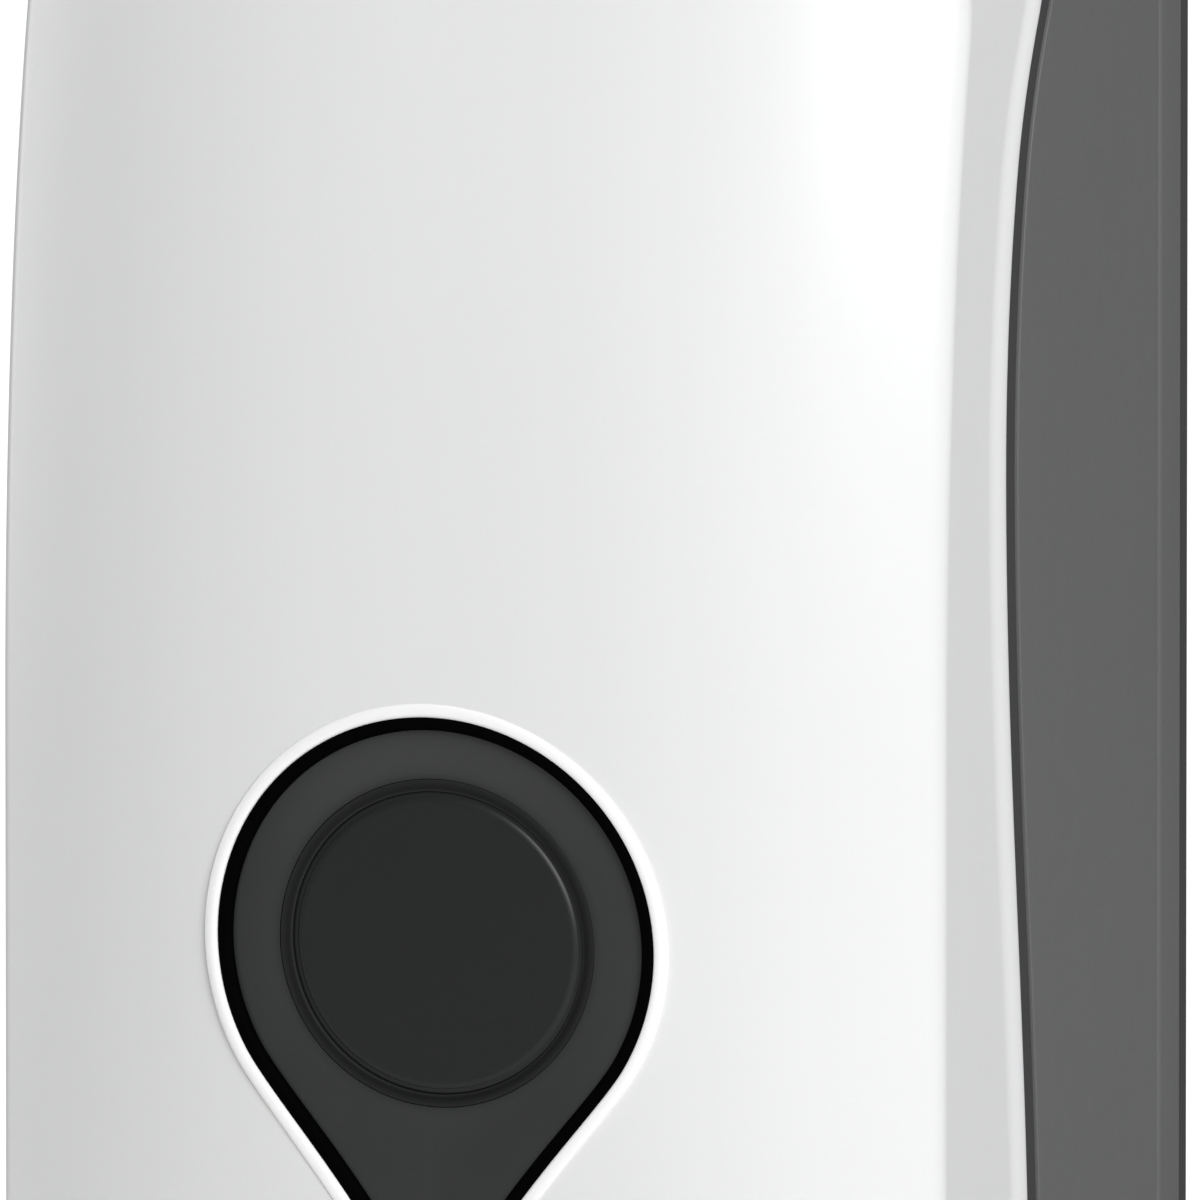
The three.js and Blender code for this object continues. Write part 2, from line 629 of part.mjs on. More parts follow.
function batteryCap() {
  const { halfWidth, front, back } = CAP;
  const middle = (front + back) / 2;
  const outline = roundedRectangle(2 * halfWidth, back - front, 1.5, 0, middle);
  let cap = slabZ(outline, [CAP_BOTTOM, PACK.capTop]).intersect(column(0, [front - 1, back + 1]));
  const socket = roundedRectangle(USB.width + 2 * GAP, USB.depth + 2 * GAP, 1.8, 0, USB.y);
  cap = cap.subtract(slabZ(socket, [CAP_BOTTOM - PAST, PACK.capTop + PAST]));
  const flapAcross = [FLAP.hingeX - 0.9, FLAP.halfWidth + GAP];
  const flapDeep = [USB.y - FLAP.halfDepth - GAP, USB.y + FLAP.halfDepth + GAP];
  cap = cap.subtract(block(flapAcross, flapDeep, [CAP_BOTTOM - PAST, CAP_BOTTOM + 1.5]));
  const latchAcross = [LATCH.springStart - GAP, halfWidth + PAST];
  const latchDeep = [USB.y - LATCH.halfDepth - GAP, USB.y + LATCH.halfDepth + GAP];
  const latchHigh = [CAP_BOTTOM - PAST, CAP_BOTTOM + LATCH.height + GAP];
  return cap.subtract(block(latchAcross, latchDeep, latchHigh));
}

function usbSocket() {
  const z = [CAP_BOTTOM + 1.7, CAP_BOTTOM + 8];
  const outer = slabZ(roundedRectangle(USB.width, USB.depth, 1.6, 0, USB.y), z);
  const mouth = roundedRectangle(USB.width - 0.8, USB.depth - 0.8, 1.2, 0, USB.y);
  const tongue = block([-3.3, 3.3], [USB.y - 0.35, USB.y + 0.35], [z[0] + 0.6, z[1] - 0.5]);
  return outer.subtract(slabZ(mouth, [z[0] - 1, z[1] - 1])).add(tongue);
}

function usbFlap() {
  const { halfWidth, halfDepth, thickness, hingeX } = FLAP;
  const z = CAP_BOTTOM + 0.1;
  const deep = [USB.y - halfDepth, USB.y + halfDepth];
  const cover = block([-halfWidth, halfWidth], deep, [z, z + thickness]);
  const strap = block([hingeX - 0.3, 1 - halfWidth], [USB.y - 2, USB.y + 2], [z, z + 0.4]);
  const plug = slabZ(roundedRectangle(7.4, 1.8, 0.8, 0, USB.y), [z + thickness - 0.2, z + thickness + 0.4]);
  return cover.add(strap).add(plug);
}

function latchButton() {
  const y = [USB.y - LATCH.halfDepth, USB.y + LATCH.halfDepth];
  const across = [y[0] - PAST, y[1] + PAST];
  const inset = 0.15;
  const bottom = CAP_BOTTOM + inset;
  const top = CAP_BOTTOM + LATCH.height;
  const nose = block([LATCH.x[1] - 0.5, LATCH.nose], [USB.y - 1.6, USB.y + 1.6], [bottom + 1.6, top]);
  let button = block(LATCH.x, y, [bottom, top]).add(nose);
  for (const x of LATCH_GROOVES) {
    button = button.subtract(block([x - 0.4, x + 0.4], across, [bottom - PAST, bottom + 1]));
  }
  return button.intersect(column(inset, across));
}

// ---------- scene graph ----------
const part = new THREE.Group();

function body(parent) {
  const group = new THREE.Group();
  parent.add(group);
  return group;
}

function place(group, name, shape, looks, position = [0, 0, 0]) {
  const mesh = new THREE.Mesh(geometryOf(shape), looks());
  mesh.name = name;
  mesh.position.set(...position);
  group.add(mesh);
  return mesh;
}

const bracket = body(part);
place(bracket, 'wall_plate', wallPlate(), DARK);

const unit = body(part);
place(unit, 'rear_housing', rearHousing(), DARK);
place(unit, 'front_shell', frontShell(), WHITE);
place(unit, 'housing_seal', housingSeal(), RUBBER);
place(unit, 'chassis', chassis(), FRAME);
BOSSES.forEach(({ x, z }, row) => {
  SIDES.forEach((side, column) => {
    const number = 2 * row + column + 1;
    const { headHeight } = CASE_SCREW;
    const length = frontReach(x, z) - BOSS.skin - headHeight - CASE_SCREW.sunk - 1.5;
    const shape = screw({ ...CASE_SCREW, length });
    place(unit, `housing_screw_${number}`, shape, STEEL, [side * x, -CASE_SCREW.sunk, z]);
  });
});

place(unit, 'window_bezel', dropRing(GAP, LIP, [BEZEL.front, BEZEL.back]), WHITE);
place(unit, 'window_gasket', dropRing(-LIP, 0, [GASKET.front, GASKET.back]), RUBBER);
place(unit, 'camera_window', cameraWindow(), WINDOW_DARK);
const trim = ring(LENS_RING.inner, LENS_RING.outer, [LENS_RING.front, LENS_RING.back], 0, LENS_Z);
place(unit, 'lens_ring', trim, BLACK);
const cover = rod(LENS_COVER.radius, [LENS_COVER.front, LENS_COVER.back], 0, LENS_Z, 40);
place(unit, 'lens_cover', cover, GLASS);
place(unit, 'lens_barrel', lensBarrel(), BLACK);
place(unit, 'lens_front', lensFront(), GLASS);
place(unit, 'lens_rear', lensRear(), GLASS);
place(unit, 'lens_mount', lensMount(), FRAME);
place(unit, 'filter_housing', filterHousing(), FRAME);
place(unit, 'image_sensor', block([-3.6, 3.6], [-27.4, -26.6], [LENS_Z - 3, LENS_Z + 3]), GLASS);
place(unit, 'camera_board', block([-11, 11], [-26.3, -25.3], [LENS_Z - 11, LENS_Z + 11]), BOARD);
place(unit, 'flex_cable', flexCable(), GOLD);
place(unit, 'ir_board', irBoard(), BOARD);
const EYE = { radius: 1, length: 1.5, y: IR_BOARD.front - GAP, lightX: 9.95, sensorDrop: 13.4 };
const eye = () => rod(EYE.radius, [-EYE.length, 0], 0, 0, 14);
SIDES.forEach((side, i) => {
  place(unit, `ir_light_${i + 1}`, eye(), LIGHT, [side * EYE.lightX, EYE.y, LENS_Z]);
});
place(unit, 'light_sensor', eye(), BLACK, [0, EYE.y, LENS_Z - EYE.sensorDrop]);

const glow = [LIGHT_RING.front, LIGHT_RING.back];
place(unit, 'light_ring', ring(LIGHT_RING.inner, LIGHT_RING.outer, glow, 0, BUTTON_Z), LIGHT);
place(unit, 'button_frame', buttonFrame(), FRAME);
const { inner, outer, front, back } = LIGHT_BOARD;
place(unit, 'button_light_board', ring(inner, outer, [front, back], 0, BUTTON_Z), BOARD);
place(unit, 'button_dome', buttonDome(), RUBBER);
place(unit, 'button_switch', tactSwitch(4.5), FRAME, [0, -24.2, BUTTON_Z]);

place(unit, 'pir_lens', pirLens(), LIGHT);
place(unit, 'pir_sensor', rod(4.1, [-28.2, -24.2], 0, PIR_Z), STEEL);
place(unit, 'microphone', rod(MIC.radius, [MIC.front, MIC.back], 0, MIC_Z), STEEL);
place(unit, 'speaker_frame', speakerFrame(), FRAME);
place(unit, 'speaker_cone', speakerCone(), RUBBER);

place(unit, 'main_board', mainBoard(), BOARD);
place(unit, 'processor_shield', block([0, 19], [-26.4, -24.2], [27, 50]), STEEL);
place(unit, 'radio_module', block([-18, -3], [-26.2, -24.2], [34, 52]), STEEL);
place(unit, 'antenna', block([-12, 12], [-30.5, -29.9], [57, 64.5]), GOLD);
place(unit, 'battery_connector', block([-7, 7], [-20.6, -14.4], [13.6, 20]), FRAME);

place(unit, 'terminal_board', terminalBoard(), BOARD);
SIDES.forEach((side, i) => {
  const position = [side * TERMINALS.x, -TERMINAL_SCREW.sunk, TERMINALS.z];
  place(unit, `terminal_screw_${i + 1}`, screw(TERMINAL_SCREW), STEEL, position);
});
place(unit, 'reset_switch', block([-3, 3], [-12.1, -8.9], [RESET.z - 3, RESET.z + 3]), FRAME);
place(unit, 'tamper_switch', block([-3, 3], [-12.1, -11.3], [TAMPER.z - 3, TAMPER.z + 3]), FRAME);
place(unit, 'tamper_spring', coil(1.9, 0.3, [-11, -8.3], 3), STEEL, [0, 0, TAMPER.z]);

place(body(unit), 'button_cap', buttonCap(), WHITE);
place(body(unit), 'reset_button', resetButton(), LIGHT);
place(body(unit), 'tamper_plunger', tamperPlunger(), LIGHT);
place(body(unit), 'ir_cut_filter', infraredFilter(), GLASS);

const battery = body(unit);
place(battery, 'battery_case', batteryCase(), DARK);
place(battery, 'battery_cap', batteryCap(), DARK);
place(battery, 'usb_socket', usbSocket(), STEEL);
const CELL_BOX = { halfWidth: 17, y: [-19.1, -8.8], height: 36.5, bottoms: [-62.4, -25.6] };
CELL_BOX.bottoms.forEach((bottom, i) => {
  const outline = roundedRectangle(2 * CELL_BOX.halfWidth, CELL_BOX.y[1] - CELL_BOX.y[0], 1.2);
  const middle = (CELL_BOX.y[0] + CELL_BOX.y[1]) / 2;
  place(battery, `battery_cell_${i + 1}`, slabZ(outline, [0, CELL_BOX.height]), CELL, [0, middle, bottom]);
});
const spring = place(battery, 'latch_spring', coil(1.2, 0.22, [0, 3], 3), STEEL);
spring.rotation.z = -Math.PI / 2;
spring.position.set(LATCH.springStart, USB.y, CAP_BOTTOM + 1.9);
place(body(battery), 'latch_button', latchButton(), FRAME);
place(body(battery), 'usb_flap', usbFlap(), RUBBER);

export default part;
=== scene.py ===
import json
import math

import bmesh
import bpy
import numpy as np
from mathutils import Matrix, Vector

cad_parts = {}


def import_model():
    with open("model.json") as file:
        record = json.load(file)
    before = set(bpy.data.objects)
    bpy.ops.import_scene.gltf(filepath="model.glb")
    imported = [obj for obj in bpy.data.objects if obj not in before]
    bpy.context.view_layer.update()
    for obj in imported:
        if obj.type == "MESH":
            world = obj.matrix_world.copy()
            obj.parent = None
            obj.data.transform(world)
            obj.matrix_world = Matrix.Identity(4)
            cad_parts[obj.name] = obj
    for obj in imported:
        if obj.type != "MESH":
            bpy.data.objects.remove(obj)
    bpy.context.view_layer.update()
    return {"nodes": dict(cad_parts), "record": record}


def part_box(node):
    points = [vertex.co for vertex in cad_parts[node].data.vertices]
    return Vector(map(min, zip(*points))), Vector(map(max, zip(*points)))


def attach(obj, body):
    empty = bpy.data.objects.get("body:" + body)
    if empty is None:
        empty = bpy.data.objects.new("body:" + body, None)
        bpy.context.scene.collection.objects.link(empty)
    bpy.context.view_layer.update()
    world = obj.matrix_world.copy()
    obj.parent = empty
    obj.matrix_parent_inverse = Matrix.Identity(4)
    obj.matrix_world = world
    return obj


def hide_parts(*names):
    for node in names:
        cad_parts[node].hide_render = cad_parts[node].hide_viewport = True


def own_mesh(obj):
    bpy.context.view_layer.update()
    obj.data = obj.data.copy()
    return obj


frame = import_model()

MM = 0.001


# ---------- sizes, in millimetres, from the frame ----------
def box_mm(node):
    """Lowest and highest corners of a CAD node."""
    low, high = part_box(node)
    return np.array(low) / MM, np.array(high) / MM


def centre_mm(node):
    low, high = box_mm(node)
    return (low + high) / 2


def radius_mm(node):
    """Half of a CAD node's width."""
    low, high = box_mm(node)
    return (high - low)[0] / 2


HALF_WIDTH, _, HALF_HEIGHT = box_mm("front_shell")[1]
DEPTH = -box_mm("window_bezel")[0][1]
HOUSING_BACK = box_mm("rear_housing")[1][1]
LENS_Z = centre_mm("lens_cover")[2]
BUTTON_Z = centre_mm("button_cap")[2]
PIR_Z = centre_mm("pir_lens")[2]
MIC_Z = centre_mm("microphone")[2]
LENS_RADIUS = radius_mm("lens_cover")
RING_RADIUS = radius_mm("lens_ring")
LIGHT_RING_RADIUS = radius_mm("light_ring")

# the case: corners seen from the front, wall, crown of the front and the fillet round it
CORNER = 15.0
WALL = 2.2
CROWN = 6.4
CROWN_POWER = 2.8
FRONT_FILLET = 0.7
SIDE_INSET = 0.31
INNER_INSET = 2.42

# arches of the front: the height where each starts, its length and its depth
TOP_ARCH = (19.0, 52.0, 12.8)
BOTTOM_ARCH = (-41.0, 30.0, 7.0)

# the parting line: its foremost point, then how it runs back above and below
PARTING_APEX = 33.0
PARTING_REACH = 29.2
PARTING_RISE = (40.0, 24.6)
PARTING_SWEEP = (15.0, 20.0, 2.6)
PARTING_FALL = (48.0, 3.9)

# the seam: bead and edges of the shell in front of it, edge of the housing behind it
BEAD = 2.1
LIP_FILLET = 0.2
SHELL_SETBACK = 0.2
HOUSING_SETBACK = 1.6
HOUSING_FILLET = 0.08
SEAM_GAP = 0.03

# the window: share of the front's crown that it keeps, its outline and its panel
WINDOW_CROWN = 0.75
DROP_RADIUS = 11.9
DROP_ANGLE = math.radians(30)
DROP_FLANK = (1.6, 2.77)
DROP_NECK = (1.7, -15.5)
DROP_NECK_GROWTH = (0.7, -0.9)
DROP_TIP = (0.75, -21.0)
DROP_TIP_GROWTH = (0.45, -1.2)
PANEL_GROWTH = -0.74
PANEL_RECESS = 0.60
PANEL_DISH = 0.3
PANEL_THICKNESS = 0.9
LENS_RECESS = 0.91

# round features and holes of the front and the bottom
BUTTON_RADIUS = 10.4
PIR_RADIUS = 4.6
MIC_RADIUS = 0.75
SPEAKER_SLOTS = 7
SPEAKER_PITCH = 3.2
SPEAKER_Y = -30.3

# the wall plate, its foam strip and its hooks, each with a place x, z and a width
PLATE_FRONT = -4.5
PLATE_FLOOR = -2.0
PLATE_RIM = 2.0
PAD = 1.2
PAD_WIDTH = 2.6
HOOKS = ((17, 44, 7), (21.6, -24, 3.2))
HOOK_DEPTH = 8.6
HOOK_TOP = 6.5


# ---------- the outer form, as functions of x and z ----------
def ellipse_drop(distance, length, depth):
    """Falls away along a quarter of an ellipse, from 0 to a depth."""
    t = np.clip(distance / length, 0, 1)
    return depth * (1 - np.sqrt(1 - t * t))


def ease(t):
    """Rises from 0 to 1 along half a cosine wave."""
    return (1 - np.cos(np.pi * np.clip(t, 0, 1))) / 2


def outline_distance(x, z, inset=0.0):
    """Distance inside the front-view outline, moved in by an inset."""
    radius = CORNER - inset
    qx = np.abs(x) - (HALF_WIDTH - inset - radius)
    qz = np.abs(z) - (HALF_HEIGHT - inset - radius)
    outside = np.hypot(np.maximum(qx, 0), np.maximum(qz, 0))
    return radius - outside - np.minimum(np.maximum(qx, qz), 0)


def front_y(x, z):
    """y of the crowned front surface, without the fillet at its edge."""
    crown = CROWN * (np.abs(x) / HALF_WIDTH) ** CROWN_POWER
    top = ellipse_drop(z - TOP_ARCH[0], *TOP_ARCH[1:])
    bottom = ellipse_drop(BOTTOM_ARCH[0] - z, *BOTTOM_ARCH[1:])
    return crown + top + bottom - DEPTH


def filleted_front_y(x, z):
    """y of the front surface with the fillet at its edge."""
    q = np.clip(outline_distance(x, z, SIDE_INSET), 0, FRONT_FILLET)
    r = FRONT_FILLET
    return front_y(x, z) + r - np.sqrt(r * r - (r - q) ** 2)


def parting_y(z):
    """y of the line between the white shell and the dark housing."""
    above = z - PARTING_APEX
    rise = ellipse_drop(above, *PARTING_RISE)
    sweep_start, sweep_length, sweep_depth = PARTING_SWEEP
    sweep = sweep_depth * ease((above - sweep_start) / sweep_length)
    fall_length, fall_depth = PARTING_FALL
    fall = fall_depth * ease(-above / fall_length)
    return rise + sweep + fall - PARTING_REACH


def outline_normals(x, z):
    """Outward directions of the rounded-rectangle outline at points on it."""
    cx = np.abs(x) - (HALF_WIDTH - CORNER)
    cz = np.abs(z) - (HALF_HEIGHT - CORNER)
    nx, nz = np.maximum(cx, 0), np.maximum(cz, 0)
    length = np.maximum(np.hypot(nx, nz), 1e-9)
    return np.sign(x) * nx / length, np.sign(z) * nz / length


def outline_loop(per_corner=20, along_x=10, along_z=100):
    """Points (x, z) round the outline, anticlockwise seen from the front, with their normals."""
    w, h = HALF_WIDTH - CORNER, HALF_HEIGHT - CORNER
    points, normals = [], []
    corners = [(w, -h, -90), (w, h, 0), (-w, h, 90), (-w, -h, 180)]
    sides = [along_z, along_x, along_z, along_x]
    for i, (cx, cz, start) in enumerate(corners):
        for k in range(per_corner + 1):
            angle = math.radians(start + 90 * k / per_corner)
            normals.append((math.cos(angle), math.sin(angle)))
            points.append((cx + CORNER * normals[-1][0], cz + CORNER * normals[-1][1]))
        nx, nz, _ = corners[(i + 1) % 4]
        end = (nx + CORNER * normals[-1][0], nz + CORNER * normals[-1][1])
        first = points[-1]
        for k in range(1, sides[i]):
            t = k / sides[i]
            points.append((first[0] + t * (end[0] - first[0]), first[1] + t * (end[1] - first[1])))
            normals.append(normals[-1])
    return np.array(points), np.array(normals)


# ---------- mesh helpers ----------
def make_piece(name, vertices, faces, material, body, replaces=None, sharp=35):
    """A closed mesh from millimetre vertices, smooth up to an angle."""
    mesh = bpy.data.meshes.new(name)
    mesh.from_pydata((np.asarray(vertices, float) * MM).tolist(), [], [tuple(f) for f in faces])
    bm = bmesh.new()
    bm.from_mesh(mesh)
    bmesh.ops.remove_doubles(bm, verts=bm.verts, dist=1e-7)
    bmesh.ops.dissolve_degenerate(bm, edges=bm.edges, dist=1e-7)
    bmesh.ops.recalc_face_normals(bm, faces=bm.faces)
    bm.to_mesh(mesh)
    bm.free()
    piece = bpy.data.objects.new(name, mesh)
    bpy.context.scene.collection.objects.link(piece)
    smooth_by_angle(mesh, sharp)
    finish_piece(piece, material, body, replaces)
    return piece


def smooth_by_angle(mesh, degrees):
    mesh.shade_smooth()
    mesh.set_sharp_from_angle(angle=math.radians(degrees))


def finish_piece(piece, material, body, replaces):
    piece.data.materials.clear()
    piece.data.materials.append(material)
    if body is None:
        return
    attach(piece, body)
    if replaces:
        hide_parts(replaces)


def band_faces(rows, count, start=0):
    """Quads between consecutive closed loops of equal length."""
    faces = []
    for r in range(rows - 1):
        a, b = start + r * count, start + (r + 1) * count
        for i in range(count):
            j = (i + 1) % count
            faces.append((a + i, a + j, b + j, b + i))
    return faces


def lofted(name, loops, material, body=None, replaces=None, closed=False, sharp=35):
    """A solid through a list of loops: open ends get flat caps, or the last loop meets the first."""
    count = len(loops[0])
    vertices = np.concatenate(loops + ([loops[0]] if closed else []))
    faces = band_faces(len(loops) + closed, count)
    if not closed:
        last = (len(loops) - 1) * count
        faces.append(tuple(range(count)))
        faces.append(tuple(last + i for i in reversed(range(count))))
    return make_piece(name, vertices, faces, material, body, replaces, sharp)


def turned(name, profile, x, z, material, body=None, replaces=None, segments=96, sharp=35):
    """A turned piece about a line along Y; the profile lists (radius, y) and may close on itself."""
    angles = np.linspace(0, 2 * np.pi, segments, endpoint=False)
    loops = []
    for radius, y in profile:
        radius = max(radius, 1e-4)
        across, up = x + radius * np.cos(angles), z + radius * np.sin(angles)
        loops.append(np.stack([across, np.full(segments, y), up], 1))
    closed = profile[0][0] > 0 and profile[-1][0] > 0
    return lofted(name, loops, material, body, replaces, closed, sharp)


def arc(cx, cy, radius, start, end, steps):
    """Points of an arc, in degrees, for a profile."""
    angles = np.radians(np.linspace(start, end, steps + 1))
    return [(cx + radius * math.cos(a), cy + radius * math.sin(a)) for a in angles]


def prism(points, y0, y1):
    """Cutter: an upright outline (x, z) run along Y."""
    points = np.asarray(points, float)
    loops = [np.stack([points[:, 0], np.full(len(points), y), points[:, 1]], 1) for y in (y0, y1)]
    return lofted("cutter", loops, None)


def prism_z(points, z0, z1):
    """Cutter: a flat outline (x, y) run along Z."""
    points = np.asarray(points, float)
    loops = [np.stack([points[:, 0], points[:, 1], np.full(len(points), z)], 1) for z in (z0, z1)]
    return lofted("cutter", loops, None)


def circle(radius, x, z, count=64):
    """Points (x, z) of a circle."""
    angles = np.linspace(0, 2 * np.pi, count, endpoint=False)
    return np.stack([x + radius * np.cos(angles), z + radius * np.sin(angles)], 1)


def rounded_rectangle(width, height, radius, x=0.0, z=0.0, steps=8):
    """Points of a rectangle with round corners."""
    w, h = width / 2 - radius, height / 2 - radius
    points = []
    for cx, cz, start in ((w, -h, -90), (w, h, 0), (-w, h, 90), (-w, -h, 180)):
        points += arc(x + cx, z + cz, radius, start, start + 90, steps)
    return np.array(points)


def boolean(piece, tools, operation="DIFFERENCE"):
    """Cuts the tools out of a piece, or joins them to it, and removes them."""
    for tool in tools:
        modifier = piece.modifiers.new("cut", "BOOLEAN")
        modifier.operation = operation
        modifier.solver = "EXACT"
        modifier.object = tool
    bpy.context.view_layer.update()
    evaluated = piece.evaluated_get(bpy.context.evaluated_depsgraph_get())
    mesh = bpy.data.meshes.new_from_object(evaluated)
    piece.modifiers.clear()
    piece.data = mesh
    for tool in tools:
        bpy.data.objects.remove(tool)


# ---------- materials ----------
def shader(name, colour, roughness, *, metallic=0.0, mottle=0.03, mottle_scale=60.0, rough_spread=0.05,
           grain=0.0, grain_scale=4000.0, wave=0.0, coat=0.0, emission=0.0, specular=0.5, painted_lens_shade=False):
    """A moulded or metal surface: faint colour mottling, roughness variation and two scales of bump, with
    an optional glow and an optional ring of painted shade round the lens.
    """
    material = bpy.data.materials.new(name)
    material.use_nodes = True
    nodes, links = material.node_tree.nodes, material.node_tree.links
    surface = nodes["Principled BSDF"]
    surface.inputs["Metallic"].default_value = metallic
    surface.inputs["Coat Weight"].default_value = coat
    surface.inputs["Specular IOR Level"].default_value = specular
    if emission:
        surface.inputs["Emission Color"].default_value = (1.0, 1.0, 1.0, 1.0)
        surface.inputs["Emission Strength"].default_value = emission
    place = nodes.new("ShaderNodeTexCoord").outputs["Object"]

    def noise(scale, detail):
        texture = nodes.new("ShaderNodeTexNoise")
        texture.inputs["Scale"].default_value = scale
        texture.inputs["Detail"].default_value = detail
        links.new(place, texture.inputs["Vector"])
        return texture.outputs["Fac"]

    cloud = noise(mottle_scale, 3.0)
    tint = nodes.new("ShaderNodeMixRGB")
    tint.inputs["Color1"].default_value = (*[c * (1 - mottle) for c in colour], 1)
    tint.inputs["Color2"].default_value = (*[min(1, c * (1 + mottle)) for c in colour], 1)
    links.new(cloud, tint.inputs["Fac"])
    colour_output = tint.outputs["Color"]
    # optional ring of painted shade round the lens
    if painted_lens_shade:
        colour_output = lens_painted_shade(nodes, links, place, colour_output)
    links.new(colour_output, surface.inputs["Base Color"])

    polish = nodes.new("ShaderNodeMapRange")
    polish.inputs["To Min"].default_value = roughness - rough_spread
    polish.inputs["To Max"].default_value = roughness + rough_spread
    links.new(noise(mottle_scale * 7, 4.0), polish.inputs["Value"])
    links.new(polish.outputs["Result"], surface.inputs["Roughness"])

    normal = None
    for strength, scale, detail in ((wave, 250.0, 1.0), (grain, grain_scale, 2.0)):
        if not strength:
            continue
        bump = nodes.new("ShaderNodeBump")
        bump.inputs["Strength"].default_value = strength
        bump.inputs["Distance"].default_value = 0.00005
        links.new(noise(scale, detail), bump.inputs["Height"])
        if normal:
            links.new(normal, bump.inputs["Normal"])
        normal = bump.outputs["Normal"]
    if normal:
        links.new(normal, surface.inputs["Normal"])
    return material


# a ring of painted shade round the lens, darkest where the panel meets the lens: brightness at each radius
LENS_SHADE_STOPS = (
    (7.0, 1.0), (7.55, 1.0), (7.9, 0.72), (7.99, 0.42), (8.08, 0.22), (8.2, 0.27),
    (8.35, 0.43), (8.5, 0.58), (8.7, 0.76), (8.9, 0.94), (9.1, 1.0),
)


def lens_painted_shade(nodes, links, place, colour):
    """Darkens a colour in a soft ring of painted shade round the lens."""
    centred = nodes.new("ShaderNodeMapping")
    centred.inputs["Location"].default_value = (0, 0, -LENS_Z * MM)
    links.new(place, centred.inputs["Vector"])
    flat = nodes.new("ShaderNodeVectorMath")
    flat.operation = "MULTIPLY"
    flat.inputs[1].default_value = (1, 0, 1)
    links.new(centred.outputs["Vector"], flat.inputs[0])
    distance = nodes.new("ShaderNodeVectorMath")
    distance.operation = "LENGTH"
    links.new(flat.outputs["Vector"], distance.inputs[0])
    span = nodes.new("ShaderNodeMapRange")
    first, last = LENS_SHADE_STOPS[0][0], LENS_SHADE_STOPS[-1][0]
    span.inputs["From Min"].default_value = first * MM
    span.inputs["From Max"].default_value = last * MM
    links.new(distance.outputs["Value"], span.inputs["Value"])
    ramp = nodes.new("ShaderNodeValToRGB")
    stops = ramp.color_ramp.elements
    for radius, _ in LENS_SHADE_STOPS[1:-1]:
        stops.new((radius - first) / (last - first))
    for stop, (_, level) in zip(stops, LENS_SHADE_STOPS):
        stop.color = (level, level, level, 1)
    links.new(span.outputs["Result"], ramp.inputs["Fac"])
    darker = nodes.new("ShaderNodeMixRGB")
    darker.blend_type = "MULTIPLY"
    darker.inputs["Fac"].default_value = 1.0
    links.new(colour, darker.inputs["Color1"])
    links.new(ramp.outputs["Color"], darker.inputs["Color2"])
    return darker.outputs["Color"]


WHITE = shader("white_shell", (0.795, 0.797, 0.80), 0.33, mottle=0.008, wave=0.05, grain=0.03)
# the window lip is lighter than the shell and faintly glowing: a painted highlight for the bright rim round
# the window
LIP_GLOW_WHITE = shader("window_lip", (0.92, 0.92, 0.92), 0.4, mottle=0.01, emission=0.05, grain=0.02)
DARK = shader("dark_housing", (0.119, 0.120, 0.120), 0.52, mottle=0.03, grain=0.25, grain_scale=5200.0)
PLATE = shader("wall_plate", (0.112, 0.113, 0.113), 0.58, mottle=0.03, grain=0.35, grain_scale=4200.0)
# panel, lens trim and lens cover carry the ring of painted shade round the lens
PANEL = shader("window_panel", (0.030, 0.0325, 0.031), 0.30, mottle=0.03, grain=0.03, painted_lens_shade=True)
TRIM = shader(
    "lens_trim", (0.0285, 0.0310, 0.0295), 0.45, mottle=0.03, grain=0.03, specular=0.16, painted_lens_shade=True,
)
COVER = shader(
    "lens_cover", (0.0150, 0.0165, 0.0158), 0.37, mottle=0.05, rough_spread=0.02, specular=0.3, painted_lens_shade=True,
)
BLACK = shader("black_trim", (0.008, 0.008, 0.008), 0.42, grain=0.1, specular=0.3)
# the window seal is a real gasket, coloured near-black so that it also paints the shadow in the gap round
# the window
SEAL_GAP_SHADE = shader("window_seal", (0.0008, 0.0008, 0.0008), 0.8, grain=0.1, specular=0.02)
GASKET = shader(
    "grey_gasket", (0.052, 0.052, 0.053), 0.75, mottle=0.04, grain=0.2, grain_scale=3000.0, specular=0.2,
)
RUBBER = shader("black_rubber", (0.012, 0.012, 0.012), 0.75, grain=0.25, grain_scale=3000.0, specular=0.25)
FRAME = shader("inner_frame", (0.035, 0.036, 0.038), 0.55, mottle=0.04, grain=0.25)
BUTTON = shader("button_face", (0.030, 0.032, 0.031), 0.36, mottle=0.02, grain=0.08)
FROSTED = shader("frosted_light", (0.82, 0.85, 0.88), 0.42, mottle=0.01, emission=0.08, grain=0.05)
LENS_WHITE = shader("pir_lens", (0.74, 0.75, 0.75), 0.38, mottle=0.02, grain=0.05)
STEEL = shader(
    "plated_steel", (0.62, 0.63, 0.64), 0.28, metallic=1.0, mottle=0.04, rough_spread=0.08, grain=0.08,
)
GOLD = shader("gold_contacts", (0.78, 0.56, 0.24), 0.3, metallic=1.0, mottle=0.05)
BOARD = shader("circuit_board", (0.015, 0.09, 0.045), 0.42, mottle=0.10, mottle_scale=300.0, grain=0.15)
CELL = shader("cell_wrap", (0.08, 0.20, 0.36), 0.3, mottle=0.04, wave=0.2)
GLASS = shader("coated_glass", (0.02, 0.018, 0.035), 0.08, rough_spread=0.02, coat=0.6)


